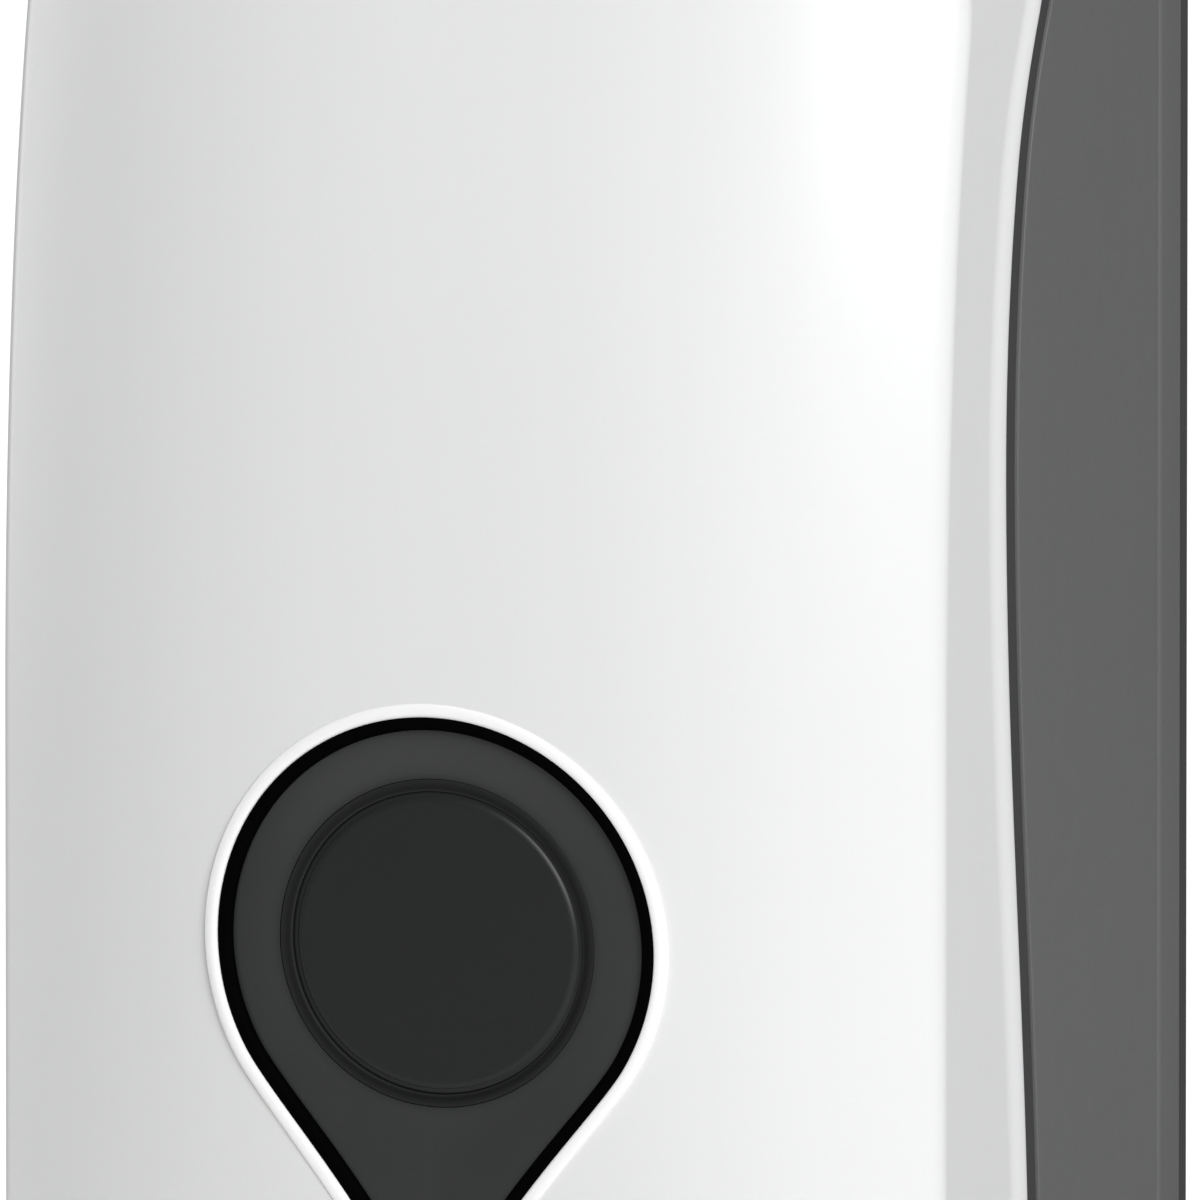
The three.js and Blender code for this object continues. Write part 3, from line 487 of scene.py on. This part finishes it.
# ---------- front shell ----------
def shell_grid(count_u=64, arc_rows=18, straight_rows=110):
    """Rows of points (x, z) that fill the front outline, closer together at its edges."""
    half_w, half_h, radius = HALF_WIDTH - SIDE_INSET, HALF_HEIGHT - SIDE_INSET, CORNER - SIDE_INSET
    straight = half_h - radius
    rise = radius * np.sin(np.linspace(0, np.pi / 2, arc_rows + 1)[1:])
    middle = np.linspace(-straight, straight, straight_rows + 1)
    z = np.concatenate([-straight - rise[::-1], middle, straight + rise])
    over = np.maximum(np.abs(z) - straight, 0)
    width = half_w - radius + np.sqrt(np.maximum(radius**2 - over**2, 0))
    u = np.sin(np.linspace(-np.pi / 2, np.pi / 2, count_u + 1))
    return u[None, :] * width[:, None], np.repeat(z[:, None], count_u + 1, 1)


def grid_boundary(rows, columns):
    """Indices of a grid's boundary, anticlockwise seen from the front."""
    last_row = (rows - 1) * columns
    bottom = list(range(columns))
    right = [r * columns + columns - 1 for r in range(1, rows)]
    top = [last_row + c for c in range(columns - 2, -1, -1)]
    left = [r * columns for r in range(rows - 2, 0, -1)]
    return bottom + right + top + left


def grid_faces(rows, columns, start=0):
    """Quads of a grid of points, row by row."""
    faces = []
    for r in range(rows - 1):
        for c in range(columns - 1):
            low = start + r * columns + c
            high = low + columns
            faces.append((low, low + 1, high + 1, high))
    return faces


def shell_wall(edge, end_y):
    """Loops from the edge of the front back to the parting line, swelling into the bead."""
    shift_x, shift_z = outline_normals(edge[:, 0], edge[:, 2])
    start_y = edge[:, 1]

    def loop(y, out):
        return np.stack([edge[:, 0] + out * shift_x, y, edge[:, 2] + out * shift_z], 1)

    loops = [loop(start_y + f * (end_y - BEAD - start_y), 0) for f in ease(np.linspace(0, 1, 21)[1:])]
    for t in (0.15, 0.3, 0.45, 0.6, 0.75, 0.88, 1.0):
        y = end_y - BEAD + t * (BEAD - LIP_FILLET)
        loops.append(loop(y, SIDE_INSET * math.sin(math.pi / 2 * t) ** 2))
    for a in np.radians([22.5, 45, 67.5, 90]):
        y = end_y - LIP_FILLET * (1 - math.sin(a))
        loops.append(loop(y, SIDE_INSET - LIP_FILLET * (1 - math.cos(a))))
    return loops


def shell_inside(x, z):
    """The inner face: the front's grid drawn in and set back by the wall."""
    full = np.array([HALF_WIDTH, HALF_HEIGHT])
    scale = (full - INNER_INSET) / (full - SIDE_INSET)
    inner_x, inner_z = x * scale[0], z * scale[1]
    return np.stack([inner_x, front_y(inner_x, inner_z) + WALL, inner_z], -1).reshape(-1, 3)


def front_shell():
    """The white shell: crowned front, side walls with a bead, and a hollow inside."""
    x, z = shell_grid()
    rows, columns = x.shape
    outer = np.stack([x, filleted_front_y(x, z), z], -1).reshape(-1, 3)
    inner = shell_inside(x, z)
    edge = grid_boundary(rows, columns)
    end_y = parting_y(outer[edge][:, 2]) - SHELL_SETBACK
    loops = shell_wall(outer[edge], end_y)
    inner_edge = inner[edge]
    for f in (0.0, 0.35, 0.7):
        y = end_y + f * (inner_edge[:, 1] - end_y)
        loops.append(np.stack([inner_edge[:, 0], y, inner_edge[:, 2]], 1))

    count = len(edge)
    first = len(outer)
    last = first + (len(loops) - 1) * count
    second = last + count
    faces = grid_faces(rows, columns)
    faces += band_faces(len(loops), count, first)
    faces += grid_faces(rows, columns, second)
    for i in range(count):
        j = (i + 1) % count
        faces.append((edge[i], edge[j], first + j, first + i))
        faces.append((last + i, last + j, second + edge[j], second + edge[i]))
    vertices = np.concatenate([outer, *loops, inner])
    shell = make_piece("shell_front", vertices, faces, WHITE, "unit", "front_shell")
    boolean(shell, shell_openings())
    smooth_by_angle(shell.data, 40)
    set_front_normals(shell.data)


def shell_openings():
    """Cutters for the window, button, motion sensor, microphone and speaker slots."""
    front, back = -DEPTH - 3, -34
    window_growth, clearance = 0.55, 0.25
    slot_width, slot_length = 1.4, 5.4
    microphone = [
        (0, -DEPTH - 1), (2 * MIC_RADIUS, -DEPTH - 1), (2 * MIC_RADIUS, -DEPTH),
        (MIC_RADIUS, -DEPTH + 0.45), (MIC_RADIUS, back), (0, back),
    ]
    tools = [
        prism(drop_points(window_growth), front, back),
        prism(circle(LIGHT_RING_RADIUS + clearance, 0, BUTTON_Z, 96), front, back),
        prism(circle(PIR_RADIUS + clearance, 0, PIR_Z), front, back),
        turned("cutter", microphone, 0, MIC_Z, None, segments=40),
    ]
    for i in range(SPEAKER_SLOTS):
        x = (i - (SPEAKER_SLOTS - 1) / 2) * SPEAKER_PITCH
        slot = rounded_rectangle(slot_width, slot_length, slot_width / 2 - 0.01, x, SPEAKER_Y)
        tools.append(prism_z(slot, -HALF_HEIGHT - 2, -HALF_HEIGHT + WALL + 2))
    return tools


def set_front_normals(mesh):
    """Gives the crowned face the exact normals of its formula, so that openings don't disturb the shine."""
    count = len(mesh.loops)
    corner = np.zeros(count * 3, np.float32)
    mesh.corner_normals.foreach_get("vector", corner)
    corner = corner.reshape(-1, 3)
    index = np.zeros(count, np.int32)
    mesh.loops.foreach_get("vertex_index", index)
    position = np.zeros(len(mesh.vertices) * 3, np.float32)
    mesh.vertices.foreach_get("co", position)
    point = position.reshape(-1, 3)[index].astype(float) / MM
    face_normal = np.zeros(len(mesh.polygons) * 3, np.float32)
    mesh.polygons.foreach_get("normal", face_normal)
    loop_total = np.zeros(len(mesh.polygons), np.int32)
    mesh.polygons.foreach_get("loop_total", loop_total)
    facing = np.repeat(face_normal.reshape(-1, 3)[:, 1], loop_total)
    x, y, z = point.T
    crowned = (np.abs(y - front_y(x, z)) < 0.02) & (facing < -0.5)
    crowned &= outline_distance(x, z, SIDE_INSET) > FRONT_FILLET * 1.05
    step = 0.05
    slope_x = (front_y(x + step, z) - front_y(x - step, z)) / (2 * step)
    slope_z = (front_y(x, z + step) - front_y(x, z - step)) / (2 * step)
    exact = np.stack([slope_x, -np.ones_like(x), slope_z], 1)
    exact /= np.linalg.norm(exact, axis=1)[:, None]
    corner[crowned] = exact[crowned]
    mesh.normals_split_custom_set(corner.tolist())


# ---------- drop-shaped window ----------
def bezier(p0, p1, p2, p3, steps):
    """Points along a cubic curve."""
    t = np.linspace(0, 1, steps + 1)[:, None]
    p0, p1, p2, p3 = (np.array(p, float) for p in (p0, p1, p2, p3))
    return (1 - t) ** 3 * p0 + 3 * (1 - t) ** 2 * t * p1 + 3 * (1 - t) * t**2 * p2 + t**3 * p3


def drop_points(grow):
    """The window's outline (x, z), grown outwards; equal counts for every growth."""
    radius = DROP_RADIUS + grow
    shoulder = np.array([radius * math.cos(DROP_ANGLE), -radius * math.sin(DROP_ANGLE)])
    flank = shoulder - DROP_FLANK
    neck = np.array(DROP_NECK) + grow * np.array(DROP_NECK_GROWTH)
    tip = np.array(DROP_TIP) + grow * np.array(DROP_TIP_GROWTH)
    tip[0] = max(0.15, tip[0])
    turn = np.linspace(-DROP_ANGLE, math.pi + DROP_ANGLE, 121)
    bow = np.stack([radius * np.cos(turn), radius * np.sin(turn)], 1)
    mirror = np.array([-1, 1])
    left = bezier(shoulder * mirror, flank * mirror, neck * mirror, tip * mirror, 40)[1:]
    under_tip = np.array([tip[0] * 0.5, tip[1] - tip[0] * 0.7])
    point = bezier(tip * mirror, under_tip * mirror, under_tip, tip, 10)[1:]
    right = bezier(tip, neck, flank, shoulder, 40)[1:-1]
    points = np.concatenate([bow, left, point, right])
    return points + (0, LENS_Z)


def on_front(points, height, share=WINDOW_CROWN):
    """Lifts outline points above a front that keeps a share of the shell's crown."""
    x, z = points[:, 0], points[:, 1]
    return np.stack([x, -DEPTH + share * (front_y(x, z) + DEPTH) - height, z], 1)


def drop_ring(name, profile, material, replaces):
    """A ring that follows the window's outline; the profile lists (growth, height, share of the crown)."""
    loops = [on_front(drop_points(row[0]), *row[1:]) for row in profile]
    lofted(name, loops, material, "unit", replaces, closed=True, sharp=50)


LIP_PROFILE = [
    (0.50, -1.5, 1), (0.52, -0.2, 1), (0.70, -0.06, 1),
    (0.72, 0.0, 0.95), (0.70, 0.05, 0.88), (0.63, 0.09, 0.8),
    (0.50, 0.12, WINDOW_CROWN), (0.32, 0.12, WINDOW_CROWN), (0.14, 0.09, WINDOW_CROWN),
    (0.04, 0.02, WINDOW_CROWN), (0.0, -0.1, WINDOW_CROWN), (0.0, -1.4, WINDOW_CROWN),
]
SEAL_PROFILE = [
    (-0.02, -1.6), (-0.02, -0.12), (-0.10, -0.06), (-0.25, -0.04), (-0.45, -0.08),
    (-0.62, -0.18), (-0.70, -0.32), (-0.71, -0.5), (-0.71, -1.6),
]


def window_panel():
    """A slightly dished panel with a round hole for the lens."""
    outer = drop_points(PANEL_GROWTH)
    centre = np.array([0, LENS_Z])
    outward = outer - centre
    outward /= np.linalg.norm(outward, axis=1)[:, None]
    inner = centre + outward * (RING_RADIUS + 0.03)
    loops = []
    steps = (0.0, 0.04, 0.1, 0.2, 0.3, 0.4, 0.5, 0.6, 0.7, 0.8, 0.9, 0.97, 1.0)
    for depth, rows in ((PANEL_RECESS, steps), (PANEL_RECESS + PANEL_THICKNESS, steps[::-3])):
        for f in rows:
            share = f * f * (3 - 2 * f)
            height = -depth - PANEL_DISH * (1 - share)
            loops.append(on_front(inner + f * (outer - inner), height, WINDOW_CROWN * share))
    lofted("window_panel", loops, PANEL, "unit", "camera_window", closed=True, sharp=50)


def lens_trim():
    """The ring round the lens cover."""
    rim, hole, top = RING_RADIUS, LENS_RADIUS + 0.02, LENS_RECESS - DEPTH
    profile = [
        (rim, top + 0.3), (rim, top + 0.02), (rim - 0.02, top), (rim - 0.2, top + 0.005),
        (hole + 0.12, top + 0.03), (hole, top + 0.08), (hole, top + 0.8), (rim, top + 0.8),
    ]
    turned("lens_trim", profile, 0, LENS_Z, TRIM, "unit", "lens_ring", segments=160)


def lens_glass():
    """The faintly domed lens cover, with a rounded step down to its rim."""
    rim, top, flat = LENS_RADIUS, LENS_RECESS - DEPTH, 6.7
    profile = [(r, top - 0.02 + 0.05 * (r / flat) ** 2) for r in (0, 1.5, 3.0, 4.5, 6.0, flat)]
    profile += arc(rim - 0.62, top + 0.58, 0.55, -90, -48, 10)
    profile += [(rim - 0.2, top + 0.175), (rim - 0.05, top + 0.18), (rim, top + 0.22)]
    profile += [(rim, top + 0.6), (0, top + 0.6)]
    turned(
        "lens_glass", profile, 0, LENS_Z, COVER, "unit", "lens_cover",
        segments=160, sharp=50,
    )


# ---------- call button and motion sensor ----------
def surface_ring(name, profile, z0, material, replaces):
    """A round piece whose rim follows the crowned front; the profile lists (radius, height, share)."""
    segments = 144
    angles = np.linspace(0, 2 * np.pi, segments, endpoint=False)
    base = front_y(0, z0)
    loops = []
    for radius, height, share in profile:
        x, z = radius * np.cos(angles), z0 + radius * np.sin(angles)
        y = base + share * (front_y(x, z) - base) - height
        loops.append(np.stack([x, y, z], 1))
    lofted(name, loops, material, "unit", replaces, closed=True, sharp=40)


def button_light_ring():
    """The frosted ring round the call button."""
    outer, inner = LIGHT_RING_RADIUS, LIGHT_RING_RADIUS - 1.75
    profile = [
        (outer, -0.5, 1), (outer, 0.0, 1), (outer - 0.12, 0.16, 1), (outer - 0.5, 0.26, 1),
        (outer - 1.1, 0.26, 1), (inner + 0.2, 0.12, 1), (inner, -0.15, 1),
        (inner, -2.0, 0), (outer, -2.0, 0),
    ]
    surface_ring("button_light_ring", profile, BUTTON_Z, FROSTED, "light_ring")


def call_button_cap():
    """A dished face with a rounded rim, a flange behind it and a stem down the middle."""
    low, high = box_mm("button_cap")
    front, back = low[1], high[1]
    dish, dish_radius, flange, stem = 0.62, 8.6, 11.7, 2.5
    profile = [(0, front + dish)]
    for r in np.linspace(1.0, dish_radius, 9):
        profile.append((r, front + dish - 0.50 * (r / dish_radius) ** 2.2))
    profile += arc(8.9, front + 0.55, 0.5, -100, -35, 5)
    profile += arc(BUTTON_RADIUS - 0.7, front + 0.85, 0.7, -60, 0, 6)
    profile += [(BUTTON_RADIUS, front + 3.0), (flange, front + 3.05), (flange, front + 4.0)]
    profile += [(stem, front + 4.0), (stem, back), (0, back)]
    turned(
        "call_button_cap", profile, 0, BUTTON_Z, BUTTON, "call_button", "button_cap",
        segments=128, sharp=40,
    )


def pir_window():
    """A domed lens with fine concentric grooves, hollow behind."""
    front = box_mm("pir_lens")[0][1]
    radius = PIR_RADIUS - 0.25
    wall = radius - 0.8
    grooves = 8
    profile = [(0, front + 0.1)]
    for k in range(1, grooves + 1):
        r = radius * 0.86 * k / grooves
        y = front + 0.1 + 1.35 * (r / radius) ** 2
        profile += [(r - 0.05, y), (r, y + 0.09), (r + 0.04, y + 0.02)]
    profile += arc(radius - 0.35, front + 1.75, 0.35, -50, 0, 4)
    profile += [(radius, front + 5.4), (wall, front + 5.4), (wall, front + 2.4)]
    profile += [(radius * 0.5, front + 1.5), (0, front + 1.2)]
    turned("pir_dome", profile, 0, PIR_Z, LENS_WHITE, "unit", "pir_lens", sharp=25)


# ---------- housing and wall plate ----------
def loops_at(rows):
    """Loops round the outline: each row gives an inset and a y, one number or one per point."""
    points, normals = outline_loop()
    loops = []
    for inset, y in rows:
        flat = points - normals * np.asarray(inset)
        y = np.broadcast_to(np.asarray(y, float), len(points))
        loops.append(np.stack([flat[:, 0], y, flat[:, 1]], 1))
    return loops


def fillet_rows(radius, y, way, degrees):
    """Rows of a rounded edge at y: way is 1 at the front of a piece and -1 at its back."""
    return [(radius * (1 - math.cos(a)), y + way * radius * (1 - math.sin(a))) for a in np.radians(degrees)]


def rear_housing():
    """The dark housing, from the seam to its back."""
    points, _ = outline_loop()
    front = parting_y(points[:, 1]) + HOUSING_SETBACK
    back = HOUSING_BACK
    rows = [(WALL, back - 2.0), (WALL, front), (0.9, front)]
    rows += fillet_rows(HOUSING_FILLET, front, 1, [90, 67, 45, 22, 0])
    side_end = back - LIP_FILLET
    rows += [(0, front + f * (side_end - front)) for f in (0.03, 0.2, 0.4, 0.6, 0.8, 0.97)]
    rows += fillet_rows(LIP_FILLET, back, -1, [0, 22, 45, 67, 90])
    housing = lofted("housing_rear", loops_at(rows), DARK, "unit", "rear_housing")
    boolean(housing, housing_openings())
    smooth_by_angle(housing.data, 35)


def housing_openings():
    """Cutters for the holes in the back, the hooks' slots and the battery's door."""
    back = HOUSING_BACK
    inside, outside = back - 5, back + 3
    plunger, reset, terminal, head, shank = 1.7, 2.3, 3.3, 2.5, 1.5
    head_depth, clearance, slot_height = 1.6, 0.6, 8.6
    tools = [
        prism(circle(plunger, 0, centre_mm("tamper_plunger")[2], 40), inside, outside),
        prism(circle(reset, 0, centre_mm("reset_button")[2], 48), inside, outside),
    ]
    for n in (1, 2):
        x, _, z = centre_mm(f"terminal_screw_{n}")
        tools.append(prism(circle(terminal, x, z, 48), inside, outside))
    for n in (1, 2, 3, 4):
        x, _, z = centre_mm(f"housing_screw_{n}")
        tools.append(prism(circle(head, x, z, 48), back - head_depth, outside))
        tools.append(prism(circle(shank, x, z, 32), inside, back - 1))
    for side in (-1, 1):
        for x, z, width in HOOKS:
            slot = rounded_rectangle(width + clearance, slot_height, 0.5, side * x, z - 1.0, steps=4)
            tools.append(prism(slot, inside, outside))
    low, high = box_mm("battery_cap")
    width, depth, _ = high - low + clearance
    door = rounded_rectangle(width, depth, 1.7, 0, (low[1] + high[1]) / 2)
    tools.append(prism_z(door, -HALF_HEIGHT - 2, -HALF_HEIGHT + 7))
    return tools


def shell_seal():
    """A gasket that fills the seam between the white shell and the housing, a little below the surface."""
    points, _ = outline_loop()
    line = parting_y(points[:, 1])
    front = line - SHELL_SETBACK + SEAM_GAP
    back = line + HOUSING_SETBACK - SEAM_GAP
    deep, shoulder, face, step = 1.9, 0.3, 0.14, 0.16
    rows = [(deep, front), (shoulder, front), (face, front + step)]
    rows += [(face, back - step), (shoulder, back), (deep, back)]
    lofted("seam_gasket", loops_at(rows), GASKET, "unit", "housing_seal", closed=True)


def wall_plate():
    """A plate with a raised rim, a rebate for the foam strip, openings and hooks."""
    front, rebate, edge, lip = PLATE_FRONT, PAD_WIDTH + 0.05, 0.35, 0.24
    rows = [(rebate, 0), (rebate, -PAD), (0.1, -PAD), (0, -PAD - 0.1), (0, front * 0.5), (0, front + edge)]
    rows += fillet_rows(edge, front, 1, [22, 45, 67, 90])
    rows += [(0.75, front), (0.75, front - lip), (PLATE_RIM - 0.15, front - lip)]
    rows += [(PLATE_RIM, front - 0.1), (PLATE_RIM, PLATE_FLOOR)]
    plate = lofted("plate_on_wall", loops_at(rows), PLATE, "wall_bracket", "wall_plate")
    boolean(plate, plate_openings())
    hooks = [plate_hook(side * x, z, width) for side in (-1, 1) for x, z, width in HOOKS]
    boolean(plate, hooks, "UNION")
    smooth_by_angle(plate.data, 35)


def plate_openings():
    """Cutters for the wire opening, two screw slots and the shallow panels of the back."""
    outlines = (
        rounded_rectangle(26, 28, 4, 0, 29),
        rounded_rectangle(9, 4.4, 2.15, 0, 62.5),
        rounded_rectangle(4.4, 9, 2.15, 0, -46),
    )
    tools = [prism(outline, PLATE_FRONT - 2, 3) for outline in outlines]
    for side in (-1, 1):
        for x, z, width, height in ((11, 52, 9, 24), (12, -14, 14, 50), (12, -52, 14, 18)):
            tools.append(prism(rounded_rectangle(width, height, 3, side * x, z), -0.6, 3))
    return tools


def plate_hook(x, z, width):
    """A hook that reaches forward from the plate and turns up, with its corners taken off."""
    root, tip, inner = PLATE_FLOOR + 0.4, -HOOK_DEPTH, 1.5 - HOOK_DEPTH
    top, arm = z + HOOK_TOP, z + 3.0
    shape = [
        (root, z), (tip + 0.2, z), (tip, z + 0.2), (tip, top - 0.4), (tip + 0.3, top),
        (inner - 0.2, top), (inner, top - 0.2), (inner, arm + 0.2), (inner + 0.2, arm), (root, arm),
    ]
    loops = [np.array([(x + s * width / 2, y, h) for y, h in shape]) for s in (-1, 1)]
    return lofted("hook", loops, None)


def plate_pad():
    """A foam strip let into the back edge of the wall plate, all the way round."""
    rows = [(0.3, -PAD), (0, -PAD), (0, -PAD / 2)]
    rows += fillet_rows(0.15, 0, -1, [0, 30, 60, 90])
    rows += [(PAD_WIDTH, 0), (PAD_WIDTH, -PAD)]
    lofted("plate_pad", loops_at(rows), GASKET, "wall_bracket", "wall_plate", closed=True)


# ---------- refined copies of the CAD's smaller parts ----------
def refined(node, material, body, bevel=0.12, segments=2):
    """A copy of a CAD node with its flat faces rejoined and its edges rounded."""
    source = frame["nodes"][node]
    mesh = source.data.copy()
    bm = bmesh.new()
    bm.from_mesh(mesh)
    bmesh.ops.remove_doubles(bm, verts=bm.verts, dist=1e-7)
    bmesh.ops.dissolve_limit(bm, angle_limit=math.radians(1.0), verts=bm.verts, edges=bm.edges)
    bm.to_mesh(mesh)
    bm.free()
    mesh.name = node + "_fine"
    piece = bpy.data.objects.new(node + "_fine", mesh)
    bpy.context.scene.collection.objects.link(piece)
    modifier = piece.modifiers.new("round", "BEVEL")
    modifier.width = bevel * MM
    modifier.segments = segments
    modifier.limit_method = "ANGLE"
    modifier.angle_limit = math.radians(32)
    bpy.context.view_layer.update()
    evaluated = piece.evaluated_get(bpy.context.evaluated_depsgraph_get())
    baked = bpy.data.meshes.new_from_object(evaluated)
    piece.modifiers.clear()
    piece.data = baked
    smooth_by_angle(baked, 40)
    finish_piece(piece, material, body, node)
    return piece


def compressible(node, material, body):
    """A copy of a spring or dome with its edges lightly rounded and a mesh of its own."""
    piece = refined(node, material, body, bevel=0.02, segments=1)
    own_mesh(piece)


# ---------- the whole object, piece by piece ----------
front_shell()
drop_ring("window_lip", LIP_PROFILE, LIP_GLOW_WHITE, "window_bezel")
drop_ring("window_seal", SEAL_PROFILE, SEAL_GAP_SHADE, "window_gasket")
window_panel()
lens_trim()
lens_glass()
button_light_ring()
call_button_cap()
pir_window()
rear_housing()
shell_seal()
wall_plate()
plate_pad()

for node, material, body, slot in (
    ("battery_cap", DARK, "battery_pack", "dark_housing"),
    ("battery_case", FRAME, "battery_pack", "inner_frame"),
    ("latch_button", FRAME, "battery_latch", "inner_frame"),
    ("usb_flap", RUBBER, "usb_cover", "black_rubber"),
    ("usb_socket", STEEL, "battery_pack", "plated_steel"),
    ("terminal_screw_1", STEEL, "unit", "plated_steel"),
    ("terminal_screw_2", STEEL, "unit", "plated_steel"),
    ("reset_button", FROSTED, "reset_button_body", "frosted_light"),
    ("speaker_frame", FRAME, "unit", "inner_frame"),
    ("chassis", FRAME, "unit", "inner_frame"),
):
    refined(node, material, body)

compressible("button_dome", RUBBER, "unit")
compressible("tamper_spring", STEEL, "unit")
compressible("latch_spring", STEEL, "battery_pack")

SLOT_MATERIALS = {
    "white_shell": WHITE,
    "dark_housing": DARK,
    "dark_window": PANEL,
    "black_plastic": BLACK,
    "black_rubber": RUBBER,
    "lens_glass": GLASS,
    "circuit_board": BOARD,
    "plated_steel": STEEL,
    "inner_frame": FRAME,
    "frosted_light": FROSTED,
    "cell_wrap": CELL,
    "gold_contacts": GOLD,
}
for entry in frame["record"]["subparts"]:
    node = frame["nodes"][entry["node"]]
    for material_slot in node.material_slots:
        material_slot.material = SLOT_MATERIALS[entry["material_slot"]]


# ---------- floor, light and camera, in metres and degrees ----------
FLOOR_HALF_SIZE = 6.0
FLOOR_HEIGHT = -0.19
WINDOW_DEPTH = 0.5 * MM
SENSOR_WIDTH = 36  # in millimetres, as Blender's cameras have it
CAMERA_AZIMUTH = 19.1
CAMERA_ELEVATION = 9.22
CAMERA_DISTANCE = 2.8
FRAME_SIZE = 61.79 * MM
TARGET_RIGHT = 8.53 * MM
TARGET_UP = 17.74 * MM


def floor():
    """A white floor that glows faintly where the camera sees it."""
    material = shader("floor", (0.9, 0.9, 0.9), 0.8, mottle=0.01)
    nodes, links = material.node_tree.nodes, material.node_tree.links
    glow = nodes.new("ShaderNodeMath")
    glow.operation = "MULTIPLY"
    glow.inputs[1].default_value = 0.85
    links.new(nodes.new("ShaderNodeLightPath").outputs["Is Camera Ray"], glow.inputs[0])
    surface = nodes["Principled BSDF"]
    surface.inputs["Emission Color"].default_value = (1.0, 1.0, 1.0, 1.0)
    links.new(glow.outputs[0], surface.inputs["Emission Strength"])
    mesh = bpy.data.meshes.new("floor")
    corners = ((-1, -1), (1, -1), (1, 1), (-1, 1))
    vertices = [(FLOOR_HALF_SIZE * x, FLOOR_HALF_SIZE * y, FLOOR_HEIGHT) for x, y in corners]
    mesh.from_pydata(vertices, [], [(0, 1, 2, 3)])
    mesh.materials.append(material)
    piece = bpy.data.objects.new("floor", mesh)
    bpy.context.scene.collection.objects.link(piece)


def direction(azimuth, elevation):
    """The way out from the object towards a light or the camera; azimuth 0 is the front."""
    a, e = math.radians(azimuth), math.radians(elevation)
    return Vector((math.sin(a) * math.cos(e), -math.cos(a) * math.cos(e), math.sin(e)))


def aim(item, location, target):
    """Puts a lamp or camera at a place and turns it to a target."""
    item.location = location
    item.rotation_euler = (Vector(target) - Vector(location)).to_track_quat("-Z", "Y").to_euler()


def softbox(name, azimuth, elevation, distance, size, power):
    """A rectangular lamp that faces the object."""
    data = bpy.data.lights.new(name, "AREA")
    data.shape = "RECTANGLE"
    data.size, data.size_y = size
    data.energy = power
    lamp = bpy.data.objects.new(name, data)
    bpy.context.scene.collection.objects.link(lamp)
    aim(lamp, direction(azimuth, elevation) * distance, (0, 0, 0))


def world():
    """Soft white surroundings: full white where the camera sees them, dimmer as light."""
    sky = bpy.data.worlds.new("studio")
    sky.use_nodes = True
    nodes, links = sky.node_tree.nodes, sky.node_tree.links
    nodes.clear()
    output = nodes.new("ShaderNodeOutputWorld")
    mix = nodes.new("ShaderNodeMixShader")
    light = nodes.new("ShaderNodeBackground")
    seen = nodes.new("ShaderNodeBackground")
    light.inputs["Color"].default_value = (1, 1, 1, 1)
    light.inputs["Strength"].default_value = 0.225
    seen.inputs["Color"].default_value = (1, 1, 1, 1)
    seen.inputs["Strength"].default_value = 1.0
    path = nodes.new("ShaderNodeLightPath")
    links.new(path.outputs["Is Camera Ray"], mix.inputs["Fac"])
    links.new(light.outputs[0], mix.inputs[1])
    links.new(seen.outputs[0], mix.inputs[2])
    links.new(mix.outputs[0], output.inputs["Surface"])
    bpy.context.scene.world = sky


def camera():
    """A long lens that looks at a point up and to the right of the window's middle."""
    data = bpy.data.cameras.new("camera")
    data.sensor_width = SENSOR_WIDTH
    data.lens = SENSOR_WIDTH * CAMERA_DISTANCE / FRAME_SIZE
    data.clip_start = 0.05
    data.clip_end = 50
    eye = bpy.data.objects.new("camera", data)
    bpy.context.scene.collection.objects.link(eye)
    a, e = math.radians(CAMERA_AZIMUTH), math.radians(CAMERA_ELEVATION)
    right = Vector((math.cos(a), math.sin(a), 0))
    up = Vector((-math.sin(a) * math.sin(e), math.cos(a) * math.sin(e), math.cos(e)))
    lens_centre = Vector((0, WINDOW_DEPTH - DEPTH * MM, LENS_Z * MM))
    target = lens_centre + right * TARGET_RIGHT + up * TARGET_UP
    aim(eye, target + direction(CAMERA_AZIMUTH, CAMERA_ELEVATION) * CAMERA_DISTANCE, target)
    bpy.context.scene.camera = eye


floor()
world()
softbox("key", azimuth=42, elevation=28, distance=0.9, size=(0.5, 0.6), power=7.0)
softbox("fill", azimuth=-92, elevation=8, distance=0.9, size=(0.5, 0.5), power=2.7)
camera()
bpy.context.scene.view_settings.view_transform = "Standard"
